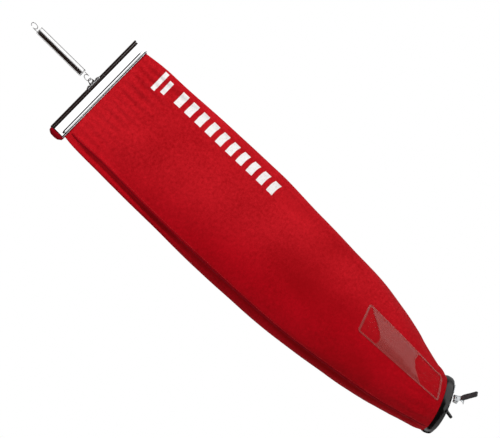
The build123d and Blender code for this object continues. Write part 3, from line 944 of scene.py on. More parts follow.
# ---- Slide clip --------------------------
@dataclass
class SlideClip:
    """Folded chrome channel with a pressed bead, and the hanger tab riveted to it."""

    finishes: Finishes
    sheet: float = 0.8 * MM
    radius: float = 6.1 * MM
    axis_height: float = -133.0 * MM
    mouth_height: float = -150.5 * MM
    mouth_half: float = 2.6 * MM
    lip_flare: float = 1.3 * MM
    lip_drop: float = 2.0 * MM
    bead_half: float = 2.0 * MM
    bead_reach: float = 88.0 * MM
    bead_height: float = 2.4 * MM
    bead_rise: float = 0.7 * MM
    tab_sheet: float = 1.2 * MM
    tab_half: float = 13.0 * MM
    hole_height: float = -121.75 * MM
    rivet_place: float = 9.0 * MM

    def wall_tilt(self) -> float:
        """Angle below the horizontal at which a wall leaves the rolled top, in radians."""
        drop = self.axis_height - self.mouth_height
        return math.pi / 2 - math.atan2(self.mouth_half,
                                        drop) - math.acos(self.radius / math.hypot(self.mouth_half, drop))

    def profile(self) -> list[tuple[float, float]]:
        """Middle line of the channel's sheet, from the back lip over the top to the front lip."""
        tilt = math.degrees(self.wall_tilt())
        roll = arc((0, self.axis_height), self.radius, -tilt, 180 + tilt, 40)
        share = np.linspace(0, 1, 40)[1:]
        foot = (-self.mouth_half, self.mouth_height)
        front = [(roll[-1][0] + (foot[0] - roll[-1][0]) * s, roll[-1][1] + (foot[1] - roll[-1][1]) * s)
                 for s in share]
        lip = [(-self.mouth_half - self.lip_flare * s ** 1.6, self.mouth_height - self.lip_drop * s)
               for s in np.linspace(0, 1, 6)[1:]]
        curl = [(lip[-1][0] - 0.35 * MM, lip[-1][1] - 0.15 * MM)]
        front_lip = lip + curl
        back_lip = [(-y, z) for y, z in reversed(front_lip)]
        back_wall = [(self.mouth_half, self.mouth_height)]
        return back_lip + back_wall + roll + front + front_lip

    def channel(self) -> Object:
        """Model the channel and press the bead into its front wall."""
        low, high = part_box("clip_channel")
        steps = 95
        length = high[0] - low[0]
        points = [(low[0], y, z) for y, z in self.profile()]
        piece = extrude_chain("clip_body", points, [(length / steps, 0, 0)] * steps)
        tilt = self.wall_tilt()
        normal = np.array([0.0, -math.cos(tilt), -math.sin(tilt)])
        along = np.array([0.0, -math.sin(tilt), math.cos(tilt)])
        foot = np.array([0.0, -self.mouth_half, self.mouth_height])
        mesh = coordinates(piece)
        height = (mesh - foot) @ along - self.bead_height
        beyond = np.maximum(np.abs(mesh[:, 0]) - (self.bead_reach - self.bead_half), 0.0)
        distance = np.hypot(height, beyond)
        lift = np.clip((self.bead_half * 1.15 - distance) / (self.bead_half * 0.7), 0, 1)
        lift = lift * lift * (3 - 2 * lift)
        on_front = (mesh[:, 1] < -self.mouth_half * 0.9) & (mesh[:, 2] < self.axis_height)
        mesh += (normal[None, :] * (lift * on_front * self.bead_rise)[:, None])
        move_points(piece, mesh)
        thicken(piece, self.sheet)
        tidy_mesh(piece)
        bevel(piece, 0.16 * MM)
        smooth(piece, 40.0)
        return piece

    def tab(self) -> Object:
        """Model the hanger tab: a saddle on the rolled top and an upright ear."""
        saddle_radius = self.radius + self.sheet / 2 + self.tab_sheet / 2
        line = [(-self.tab_half, y, z) for y, z in arc((0, self.axis_height), saddle_radius, 48, 132, 22)]
        saddle = extrude_chain("clip_tab", line, [(self.tab_half / 6, 0, 0)] * 12)
        thicken(saddle, self.tab_sheet)
        top = self.axis_height + saddle_radius
        ear = lug("clip_tab_ear", 2.5 * MM, 4.3 * MM, (6.3 * MM, self.hole_height - top), self.tab_sheet)
        place(ear, Matrix.Translation((0, 0, self.hole_height)))
        piece = join(saddle, ear)
        bevel(piece, 0.25 * MM)
        smooth(piece)
        return piece

    def build(self) -> None:
        """Model, place and dress the clip."""
        dress(self.channel(), self.finishes.chrome, "clip", "clip_chrome", "clip_channel")
        dress(self.tab(), self.finishes.chrome, "clip", "clip_chrome", "clip_hanger_tab")
        top = self.axis_height + self.radius + self.sheet / 2 + self.tab_sheet
        rivets = [domed_rivet(f"clip_rivet_{side}", 2.4 * MM, 0.9 * MM, 1.5 * MM) for side in ("left", "right")]
        for rivet, spot in zip(rivets, (-self.rivet_place, self.rivet_place)):
            place(rivet, Matrix.Translation((spot, 0, top)))
        dress(join(*rivets), self.finishes.rivet, "clip", "rivet_steel", "tab_rivets")


# ---- Top hem -----------------------------
@dataclass
class TopHem:
    """The bag's top edge, rolled round a rod inside the clip."""

    finishes: Finishes
    axis_height: float = -133.0 * MM
    rod_radius: float = 2.5 * MM
    outer_radius: float = 5.2 * MM
    layer: float = 0.72 * MM
    tail_half: float = 1.35 * MM
    tail_bottom: float = -154.3 * MM
    end_length: float = 9.0 * MM
    end_swell: float = 2.6 * MM
    rod_start: float = 6.0 * MM
    end_depth: float = 0.55
    end_height: float = 0.80

    def round_end(self, piece: Object, end: float) -> None:
        """Round the roll's open left end, and make its cloth a little uneven.

        Args:
            piece: the hem.
            end: where it starts, along X.
        """
        middle = (self.axis_height + self.outer_radius + self.tail_bottom) / 2
        half = self.axis_height + self.outer_radius - middle
        points = coordinates(piece)
        for point in points:
            wave = 0.12 * MM * noise.noise(Vector((point[0] * 90, point[1] * 60, point[2] * 60)))
            inside = 1.0 - min(1.0, (point[0] - end) / self.end_length)
            full = math.sqrt(max(0.0, 1.0 - inside ** 2))
            curve = math.sqrt(max(0.0, 1.0 - ((point[2] - middle) / half) ** 2))
            swell = self.end_swell * curve * math.sin(math.pi * min(1.0, inside * 1.15))
            depth = self.end_depth + (1.0 - self.end_depth) * full
            point[1] = point[1] * depth + wave + math.copysign(swell, point[1])
            point[2] = middle + (point[2] - middle) * (self.end_height + (1.0 - self.end_height) * full)
            point[0] += self.end_length * 0.45 * inside ** 2 * (1.0 - curve)
        move_points(piece, points)

    def build(self) -> None:
        """Model, place and dress the rolled hem and its rod."""
        low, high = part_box("top_hem")
        turns = 2.6
        angles = np.linspace(0, turns * math.tau, 80)
        inner = self.rod_radius + self.layer * 0.6
        radii = inner + (self.outer_radius - self.layer / 2 - inner) * angles / angles[-1]
        start = math.pi - angles[-1]
        roll = [(low[0], r * math.cos(start + a), self.axis_height + r * math.sin(start + a))
                for a, r in zip(angles, radii)]
        last = roll[-1]
        front = [(low[0], last[1] + (-self.tail_half - last[1]) * s, last[2] + (self.tail_bottom - last[2]) * s)
                 for s in np.linspace(0, 1, 9)[1:]]
        back = [(low[0], self.tail_half, z)
                for z in np.linspace(self.tail_bottom, self.axis_height - 5 * MM, 6)]
        steps = 76
        points = roll + front + back
        hem = extrude_chain("hem_roll", points, [((high[0] - low[0]) / steps, 0, 0)] * steps)
        self.round_end(hem, low[0])
        thicken(hem, self.layer * 0.9)
        smooth(hem, 60.0)
        uv_from_place(hem, 0, 2)
        # The hem takes the darker cloth: painted shade under the clip.
        dress(hem, self.finishes.painted_shade_cloth, "bag", "bag_cloth", "top_hem")
        rod_profile = [(0, 0), (self.rod_radius - 0.4 * MM, 0), (self.rod_radius, 0.4 * MM)]
        length = high[0] - low[0] - MM - self.rod_start
        rod_profile += [(self.rod_radius, length - 0.4 * MM), (self.rod_radius - 0.4 * MM, length), (0, length)]
        rod = lathe("hem_core", rod_profile, steps=24, closed=False)
        place(rod, frame_at((low[0] + self.rod_start, 0, self.axis_height), (0, 1, 0), (0, 0, 1)))
        smooth(rod)
        dress(rod, self.finishes.rod, "bag", "hem_rod_plastic", "hem_rod")


def uv_from_place(piece: Object, across: int, along: int) -> None:
    """Give a piece a UV map in metres from two of its coordinates.

    Args:
        piece: the object.
        across: which coordinate runs along U.
        along: which coordinate runs along V.
    """
    layer = piece.data.uv_layers.new(name="cloth")
    points = coordinates(piece)
    corners = np.empty(len(piece.data.loops), dtype=np.int64)
    piece.data.loops.foreach_get("vertex_index", corners)
    layer.data.foreach_set("uv", points[corners][:, (across, along)].reshape(-1))


# ---- Bag ---------------------------------
def through(places: Sequence[float], values: Sequence[float], at: np.ndarray) -> np.ndarray:
    """Smooth curve through points, as a cubic whose slopes follow the neighbours.

    Args:
        places: where the points are, rising.
        values: their values.
        at: where the curve is read.

    Returns:
        The curve's values.
    """
    x = np.asarray(places, dtype=float)
    y = np.asarray(values, dtype=float)
    slope = np.gradient(y, x)
    index = np.clip(np.searchsorted(x, at) - 1, 0, len(x) - 2)
    width = x[index + 1] - x[index]
    t = (at - x[index]) / width
    a, b = y[index], y[index + 1]
    return (a * (1 + 2 * t) * (1 - t) ** 2 + b * t * t * (3 - 2 * t)
            + slope[index] * width * t * (1 - t) ** 2 - slope[index + 1] * width * t * t * (1 - t))


@dataclass
class Station:
    """A level section of the bag: lengths in millimetres, lean in degrees."""

    share: float
    centre: float
    half_width: float
    half_depth: float
    lean: float


def stitch() -> Object:
    """Model one stitch: a short thread whose ends go into the cloth."""
    clear_selection()
    bpy.ops.mesh.primitive_uv_sphere_add(segments=6, ring_count=5, radius=0.5)
    piece = bpy.context.object
    bpy.ops.transform.resize(value=(0.55 * MM, 0.5 * MM, 2.7 * MM))
    bpy.ops.object.transform_apply()
    return piece


@dataclass
class VinylPocket:
    """The clear pocket on the bag's front, with corners in millimetres across and up."""

    corners: tuple[tuple[float, float], ...] = ((7.6, -692.5), (53.6, -678.5), (51.0, -845.5), (15.8, -864.0))
    corner_radius: float = 5.0 * MM
    border: float = 3.6 * MM
    thickness: float = 0.45 * MM
    cling: float = 0.8 * MM
    puff: float = 2.0 * MM
    puff_over: float = 9.0 * MM
    stitch_pitch: float = 4.0 * MM
    stitch_lift: float = 1.15 * MM
    columns: int = 40
    rows: int = 150

    def on_cloth(self, surface: BVHTree, s: float, t: float, lift: float) -> tuple[Vector, Vector]:
        """Find a place of the pocket on the cloth and lift it off.

        Args:
            surface: the cloth.
            s: share of the way across.
            t: share of the way down.
            lift: height over the cloth.

        Returns:
            The point and the cloth's outward direction there.
        """
        top_left, top_right, foot_right, foot_left = (np.array(corner) * MM for corner in self.corners)
        spot = (top_left * (1 - s) + top_right * s) * (1 - t) + (foot_left * (1 - s) + foot_right * s) * t
        found, normal, _, _ = surface.ray_cast(Vector((spot[0], -0.2, spot[1])), Vector((0, 1, 0)))
        if normal.y > 0:
            normal = -normal
        return found + normal * lift, normal

    def size(self) -> tuple[float, float]:
        """Width along the top edge and height along the right edge."""
        top_left, top_right, foot_right, _ = (np.array(corner) * MM for corner in self.corners)
        return float(np.linalg.norm(top_right - top_left)), float(np.linalg.norm(foot_right - top_right))

    def rounded(self, s: float, t: float) -> tuple[float, float, float]:
        """Move a place of the plain rectangle into the one with round corners.

        Args:
            s: share of the way across.
            t: share of the way down.

        Returns:
            The moved place, and its distance from the edge.
        """
        width, height = self.size()
        x, y = (s - 0.5) * width, (t - 0.5) * height
        over_x = abs(x) - (width / 2 - self.corner_radius)
        over_y = abs(y) - (height / 2 - self.corner_radius)
        if over_x <= 0 or over_y <= 0:
            return s, t, min(width / 2 - abs(x), height / 2 - abs(y))
        shrink = max(over_x, over_y) / math.hypot(over_x, over_y)
        x = math.copysign(width / 2 - self.corner_radius + over_x * shrink, x)
        y = math.copysign(height / 2 - self.corner_radius + over_y * shrink, y)
        return x / width + 0.5, y / height + 0.5, self.corner_radius - math.hypot(over_x, over_y) * shrink

    def reflection_band_at(self, s: float, t: float) -> float:
        """Over 0.5 in the band of painted reflection: between two curved lines across the pocket."""
        upper = t - 0.13 - 0.10 * math.cos((s - 0.25) * 3.6)
        lower = 0.80 - t - 0.16 * math.sin(s * 2.4)
        return 0.5 + min(upper, lower)

    def sheet(self, surface: BVHTree) -> Object:
        """Model the sheet, pressed to the cloth at its welded border."""
        points, welds, reflection_bands = [], [], []
        for row in range(self.rows + 1):
            for column in range(self.columns + 1):
                s, t, inside = self.rounded(column / self.columns, row / self.rows)
                share = min(1.0, max(0.0, inside - self.border) / self.puff_over)
                lift = self.cling + self.puff * math.sin(share * math.pi / 2)
                points.append(self.on_cloth(surface, s, t, lift)[0])
                welds.append(1.0 if inside < self.border else 0.0)
                reflection_bands.append(self.reflection_band_at(s, t))
        wide = self.columns + 1
        faces = [(r * wide + c, (r + 1) * wide + c, (r + 1) * wide + c + 1, r * wide + c + 1)
                 for r in range(self.rows) for c in range(self.columns)]
        piece = new_piece("vinyl_pocket", points, faces)
        # The second attribute marks the band of painted reflection on the sheet.
        for name, values in (("weld", welds), ("reflection_band", reflection_bands)):
            piece.data.attributes.new(name, "FLOAT", "POINT").data.foreach_set("value", values)
        modify(piece, "SMOOTH", factor=0.5, iterations=3)
        thicken(piece, self.thickness, 0.0)
        smooth(piece, 60.0)
        return piece

    def stitches(self, surface: BVHTree) -> Object:
        """Model the stitches along both sides and the foot."""
        width, height = self.size()
        places = []
        for s0, t0, s1, t1 in ((0.06, 0.97, 0.06, 0.03), (0.94, 0.97, 0.94, 0.03), (0.12, 0.985, 0.88, 0.985)):
            span = math.hypot((s1 - s0) * width, (t1 - t0) * height)
            count = max(2, int(span / self.stitch_pitch))
            run = [self.on_cloth(surface, s0 + (s1 - s0) * i / count, t0 + (t1 - t0) * i / count,
                                 self.stitch_lift)
                   for i in range(count + 1)]
            places += [frame_at((a + b) / 2, (b - a).cross(normal) * -1, normal)
                       for (a, normal), (b, _) in zip(run, run[1:])]
        return copies(stitch(), "stitches_pocket", places)


@dataclass(frozen=True)
class Folds:
    """How the cloth stands in and out of the smooth bag: heights and widths in millimetres."""

    broad: float = 2.6
    slant: float = 2.0
    fine: float = 0.6
    top_fade: float = 0.05
    neck_fade: float = 0.03
    calm_from: float = 0.78
    calm_over: float = 0.12
    calm_share: float = 0.75
    valley: float = 2.8
    valley_growth: float = 2.2
    valley_from: float = 0.25
    valley_place: float = 7.0
    valley_wander: float = 1.5
    valley_width: float = 4.2
    low_width: float = 1.5
    low_from: float = 0.35
    right_share: float = 0.7
    ridge: float = 1.3
    ridge_width: float = 3.4
    pleat: float = 1.7
    pleat_pitch: float = 2.15
    pleat_place: float = 0.02
    pleat_reach: float = 0.075
    pleat_least: float = 0.35
    gather: float = 1.15
    gather_pitch: float = 2.6
    gather_reach: float = 0.055
    crease_from: float = 0.7
    crease_over: float = 2.6

    def waves(self, spot: Vector, share: float) -> tuple[float, float]:
        """Loose undulations of the cloth, in millimetres, and how calm the cloth is there.

        Args:
            spot: the point on the smooth bag.
            share: how far down the bag it is.

        Returns:
            The height, and 1 where the cloth is loose down to less near the neck.
        """
        broad = noise.noise(Vector((spot.x * 7, spot.y * 7, spot.z * 4.2 + 3.1)))
        slant = noise.noise(Vector((spot.x * 16 + spot.z * 9, spot.y * 14, spot.z * 6 - spot.x * 4)))
        fine = noise.noise(Vector((spot.x * 42, spot.y * 42, spot.z * 20)))
        loose = 1.0 - self.calm_share * min(1.0, max(0.0, (share - self.calm_from) / self.calm_over))
        return (self.broad * broad + self.slant * slant + self.fine * fine) * loose, loose

    def seams(self, spot: Vector, share: float, across: float, girth: float, loose: float) -> float:
        """Ridges on the seams and the valleys beside them, in millimetres.

        Args:
            spot: the point on the smooth bag.
            share: how far down the bag it is.
            across: distance from the left seam along the cloth, towards the front.
            girth: length of the cloth round this ring.
            loose: how loose the cloth is there.

        Returns:
            The height.
        """
        height = 0.0
        growth = self.valley_growth * min(1.0, max(0.0, share - self.valley_from) * 2.2)
        width = self.valley_width + self.low_width * (share > self.low_from)
        for seam, depth in ((0.0, 1.0), (girth / 2, self.right_share), (girth, 1.0)):
            away = (across - seam) / MM
            wander = self.valley_wander * noise.noise(Vector((7.7, seam * 3, spot.z * 11)))
            side = -1.0 if seam != girth / 2 else 1.0
            valley = (self.valley + growth) * depth * (0.75 + 0.25 * loose)
            height -= valley * math.exp(-((away - side * (self.valley_place + wander)) / width) ** 2)
            height += self.ridge * depth * math.exp(-(away / self.ridge_width) ** 2)
        return height

    def offset(self, point: np.ndarray, share: float, across: float, girth: float) -> float:
        """How far a point of the cloth stands out of the smooth bag.

        Args:
            point: the point.
            share: how far down the bag it is.
            across: distance from the left seam along the cloth, towards the front.
            girth: length of the cloth round this ring.

        Returns:
            The offset outward, in metres.
        """
        spot = Vector(point)
        height, loose = self.waves(spot, share)
        height += self.seams(spot, share, across, girth, loose)
        rightness = 1 / (1 + math.exp(-(spot.x / MM - 10) / 14))
        fade = math.exp(-((share - self.pleat_place) / self.pleat_reach) ** 2)
        fade *= self.pleat_least + (1 - self.pleat_least) * rightness
        wander = 2.6 * noise.noise(Vector((spot.x * 22, 1, 0)))
        height += self.pleat * fade * math.sin(spot.x / MM / self.pleat_pitch + wander)
        wander = 3.0 * noise.noise(Vector((across * 30, 4, 0)))
        fade = math.exp(-((1.0 - share) / self.gather_reach))
        height += self.gather * fade * math.sin(across / MM / self.gather_pitch + wander)
        ends = min(1.0, share / self.top_fade) * min(1.0, (1.0 - share) / self.neck_fade)
        return height * MM * max(0.0, ends)

    def painted_crease_shade(self, offset: float) -> float:
        """How deep in a fold a point lies, from 0 to 1, for the painted shade that darkens the cloth's colour
        in fold valleys.
        """
        return min(1.0, max(0.0, (-offset / MM - self.crease_from) / self.crease_over))


@dataclass(frozen=True)
class ClothBehaviour:
    """How the cloth moves while it settles, named as the cloth modifier names it."""

    quality: int = 6
    mass: float = 0.25
    tension_stiffness: float = 18
    compression_stiffness: float = 18
    shear_stiffness: float = 6
    bending_stiffness: float = 0.9
    shrink_min: float = -0.018
    shrink_max: float = -0.018
    use_pressure: bool = True
    uniform_pressure_force: float = 0.35


@dataclass
class BagBody:
    """The cloth tube with its seams and stitches."""

    finishes: Finishes
    stations: list[Station] = field(default_factory=lambda: [
        Station(-0.012, 0.5, 92.0, 1.6, 0.0),
        Station(0.0, 0.5, 93.6, 1.9, 0.0),
        Station(0.098, 2.5, 96.0, 13.0, 0.0),
        Station(0.273, 4.0, 100.0, 28.0, 0.0),
        Station(0.447, 5.3, 98.8, 38.0, 0.0),
        Station(0.622, 7.0, 94.0, 46.0, 0.0),
        Station(0.746, 10.0, 86.0, 50.0, 1.0),
        Station(0.865, 10.5, 71.5, 51.0, 5.0),
        Station(0.95, 12.8, 57.4, 49.8, 12.6),
        Station(0.98, 14.9, 52.0, 50.2, 16.5),
        Station(0.9955, 15.9, 49.6, 49.4, 19.3),
        Station(1.001, 16.3, 46.2, 46.2, 20.0),
        Station(1.009, 16.9, 46.1, 46.1, 20.0),
    ])
    hem_bottom: float = -154.4 * MM
    drop: float = 716.0 * MM
    seam_angle: float = 213.0
    fullness: float = 2.18
    around: int = 116
    rows: int = 92
    cloth: float = 0.7 * MM
    folds: Folds = Folds()
    behaviour: ClothBehaviour = ClothBehaviour()
    settle_frames: int = 18
    settle_gravity: float = 0.35
    settle_cap: float = 6.0 * MM
    stitch_gap: float = 3.4 * MM
    outline_steps: int = 1440

    def ring(self, share: float) -> tuple[np.ndarray, np.ndarray]:
        """One level of the bag, evenly spaced along the cloth, from the left seam to the right.

        Args:
            share: how far down the bag the ring is.

        Returns:
            The ring's points and each point's distance along the cloth from the front's middle.
        """
        shares = [s.share for s in self.stations]
        at = np.array([share])
        centre, half_width, half_depth, lean = (
            float(through(shares, [getattr(s, key) for s in self.stations], at)[0])
            for key in ("centre", "half_width", "half_depth", "lean"))
        roundness = 2.0 + (self.fullness - 2.0) * min(1.0, max(0.0, (1.0 - share) / 0.25))
        degrees = np.linspace(0, 360, self.outline_steps + 1)
        angles = np.radians(self.seam_angle + degrees)
        power = 2.0 / roundness
        x = half_width * np.sign(np.cos(angles)) * np.abs(np.cos(angles)) ** power
        y = half_depth * np.sign(np.sin(angles)) * np.abs(np.sin(angles)) ** power
        walked = np.concatenate([[0.0], np.cumsum(np.hypot(np.diff(x), np.diff(y)))])
        even = np.linspace(0, walked[-1], self.around + 1)[:-1]
        x, y_even = np.interp(even, walked, x), np.interp(even, walked, y)
        front = float(np.interp(270.0 - self.seam_angle, degrees, walked))
        turn = math.radians(lean)
        height = self.hem_bottom / MM - share * self.drop / MM
        points = np.stack([centre + x * math.cos(turn), y_even, height + x * math.sin(turn)], axis=1)
        return points * MM, (even - front) * MM

    def tube(self) -> Object:
        """Model the cloth as one sheet joined along the left seam."""
        start, end = self.stations[0].share, self.stations[-1].share
        shares = np.linspace(start, end, self.rows + 1)
        rings, across = zip(*(self.ring(float(share)) for share in shares))
        grid = np.array(rings)
        spread = np.array(across)
        down = np.gradient(grid, axis=0)
        sideways = np.roll(grid, -1, axis=1) - np.roll(grid, 1, axis=1)
        normals = np.cross(down, sideways)
        normals /= np.linalg.norm(normals, axis=2, keepdims=True)
        middle = grid.mean(axis=1, keepdims=True)
        if float(((grid - middle) * normals).sum()) < 0:
            normals = -normals
        painted_crease_shades = []
        for row, share in enumerate(shares):
            girth = (spread[row, 1] - spread[row, 0]) * self.around
            for column in range(self.around):
                along = spread[row, column] - spread[row, 0]
                lift = self.folds.offset(grid[row, column], float(share), along, girth)
                grid[row, column] += normals[row, column] * lift
                painted_crease_shades.append(self.folds.painted_crease_shade(lift))
        faces = []
        for row in range(self.rows):
            for column in range(self.around):
                beside = (column + 1) % self.around
                faces.append((row * self.around + column, (row + 1) * self.around + column,
                              (row + 1) * self.around + beside, row * self.around + beside))
        piece = new_piece("bag_cloth_tube", grid.reshape(-1, 3).tolist(), faces)
        # Each point's painted shade for fold valleys, which the cloth's material reads.
        piece.data.attributes.new("painted_crease_shade", "FLOAT", "POINT").data.foreach_set("value", painted_crease_shades)
        layer = piece.data.uv_layers.new(name="cloth")
        length = self.drop * (shares - shares[0])
        step = spread[:, 1] - spread[:, 0]
        flat_uv = []
        for row in range(self.rows):
            for column in range(self.around):
                for line, shift in ((row, 0), (row + 1, 0), (row + 1, 1), (row, 1)):
                    flat_uv += [spread[line, column] + shift * step[line], -length[line]]
        layer.data.foreach_set("uv", flat_uv)
        edit(piece)
        bpy.ops.mesh.normals_make_consistent(inside=False)
        bpy.ops.object.mode_set(mode="OBJECT")
        return piece

    def settle(self, piece: Object) -> None:
        """Let the cloth crumple a little between its held ends, and cap how far it moves."""
        before = coordinates(piece)
        held = piece.vertex_groups.new(name="held")
        count = self.around
        total = (self.rows + 1) * count
        held.add([i for i in range(total) if i < 3 * count or i >= total - 4 * count], 1.0, "REPLACE")
        pick(piece)
        modifier = piece.modifiers.new("settle", "CLOTH")
        settings = modifier.settings
        for name, value in vars(self.behaviour).items():
            setattr(settings, name, value)
        settings.vertex_group_mass = held.name
        settings.effector_weights.gravity = self.settle_gravity
        modifier.collision_settings.use_collision = False
        scene = bpy.context.scene
        for frame_number in range(1, self.settle_frames + 1):
            scene.frame_set(frame_number)
        bpy.ops.object.modifier_apply(modifier=modifier.name)
        scene.frame_set(1)
        after = coordinates(piece)
        moved = after - before
        length = np.linalg.norm(moved, axis=1, keepdims=True)
        down = np.repeat(np.linspace(0.0, 1.0, self.rows + 1), count)[:, None]
        caps = self.settle_cap * np.interp(down, (0.0, 0.70, 0.86, 1.0), (1.0, 1.0, 0.2, 0.15))
        move_points(piece, before + moved * np.minimum(1.0, caps / np.maximum(length, 1e-9)))
        piece.vertex_groups.clear()
        log.info("cloth settled, furthest %.1f mm", float(length.max()) / MM)

    def build(self) -> None:
        """Model, place and dress the bag, its seams, its stitches and its pocket."""
        tube = self.tube()
        self.settle(tube)
        grid = coordinates(tube).reshape(self.rows + 1, self.around, 3)
        modify(tube, "SUBSURF", levels=1, render_levels=1)
        surface = BVHTree.FromObject(tube, bpy.context.evaluated_depsgraph_get())
        welts = [self.welt(grid, "seam_welt_left", 0.0), self.welt(grid, "seam_welt_right", 0.5)]
        stitches = [self.stitching(grid, "stitches_left", 0.0), self.stitching(grid, "stitches_right", 0.5)]
        pocket, rim_stitches = VinylPocket().sheet(surface), VinylPocket().stitches(surface)
        thicken(tube, self.cloth, -1.0)
        smooth(tube, 180.0)
        dress(tube, self.finishes.cloth, "bag", "bag_cloth", "front_panel", "back_panel")
        # The welts take the darker cloth: painted shade along the seams.
        for welt, node in zip(welts, ("left_seam", "right_seam")):
            dress(welt, self.finishes.painted_shade_cloth, "bag", "bag_cloth", node)
        for row in (*stitches, rim_stitches):
            dress(row, self.finishes.thread, "bag", "bag_cloth")
        dress(pocket, self.finishes.vinyl, "bag", "clear_vinyl", "label_pocket")

    def seam_line(self, grid: np.ndarray, turn: float, shift: float, count: int) -> list[tuple[Vector, Vector]]:
        """Points on the cloth down a seam, each with the outward direction there.

        Args:
            grid: the cloth's points by row and column.
            turn: which seam, as a share of the way round from the left seam.
            shift: distance beside the seam along the cloth.
            count: how many points.

        Returns:
            Pairs of point and direction, from the hem to the collar.
        """
        line = []
        for row in np.linspace(1.6, self.rows - 1.2, count):
            upper = int(row)
            ring = grid[upper] * (1 - (row - upper)) + grid[upper + 1] * (row - upper)
            step = float(np.linalg.norm(ring[1] - ring[0]))
            exact = turn * self.around + shift / step
            first = math.floor(exact)
            here, there = ring[first % self.around], ring[(first + 1) % self.around]
            spot = Vector(here * (1 - (exact - first)) + there * (exact - first))
            below = grid[upper + 1][first % self.around] - grid[upper][first % self.around]
            beside = ring[(first + 2) % self.around] - ring[(first - 2) % self.around]
            normal = Vector(np.cross(below, beside)).normalized()
            if normal.dot(spot - Vector(ring.mean(axis=0))) < 0:
                normal = -normal
            line.append((spot, normal))
        return line

    def welt(self, grid: np.ndarray, name: str, turn: float) -> Object:
        """Model the rounded ridge where the doubled cloth of a seam stands up."""
        count, sides = 190, 10
        line = self.seam_line(grid, turn, 0.0, count)
        points: list = []
        for index, (spot, normal) in enumerate(line):
            before, after = line[max(0, index - 1)][0], line[min(count - 1, index + 1)][0]
            along = (after - before).normalized()
            beside = along.cross(normal).normalized()
            wave = 1.0 + 0.12 * noise.noise(Vector((5.5, turn * 9, spot.z * 160)))
            for side in range(sides):
                angle = side / sides * math.tau
                points.append(spot + beside * (1.5 * MM * math.cos(angle)) + normal
                              * (0.8 * MM * wave * math.sin(angle)))
        faces: list = [tuple(range(sides)), tuple(range((count - 1) * sides, count * sides))[::-1]]
        for row in range(count - 1):
            for side in range(sides):
                beside = (side + 1) % sides
                faces.append((row * sides + side, (row + 1) * sides + side, (row + 1) * sides + beside,
                              row * sides + beside))
        piece = new_piece(name, points, faces)
        tidy_mesh(piece)
        uv_from_place(piece, 1, 2)
        smooth(piece, 60.0)
        return piece

    def stitching(self, grid: np.ndarray, name: str, turn: float) -> Object:
        """Model the row of stitches beside a seam."""
        line = self.seam_line(grid, turn, self.stitch_gap if turn == 0.0 else -self.stitch_gap, 205)
        return copies(stitch(), name, [
            frame_at(spot + normal * 0.1 * MM, (there - spot).cross(normal) * -1,
                     normal) @ Matrix.Rotation(0.05, 4, "X")
            for (spot, normal), (there, _) in zip(line, line[1:])])


# ---- Collar ------------------------------
@dataclass
class CollarFrame:
    """The collar's own frame: +Z out of the bag's mouth, +Y to the bag's front."""

    tilt: float = 20.0
    origin: tuple[float, float, float] = (16.2 * MM, 0.0, -870.4 * MM)

    def matrix(self) -> Matrix:
        """Matrix from the collar's frame to the object's."""
        turn = math.radians(self.tilt)
        return frame_at(self.origin, (math.cos(turn), 0, math.sin(turn)), (0, -1, 0))

    def spot(self, angle: float, radius: float, height: float) -> Vector:
        """Point in the collar's frame, with the angle from the front to the right."""
        turn = math.radians(angle)
        return Vector((radius * math.sin(turn), radius * math.cos(turn), height))


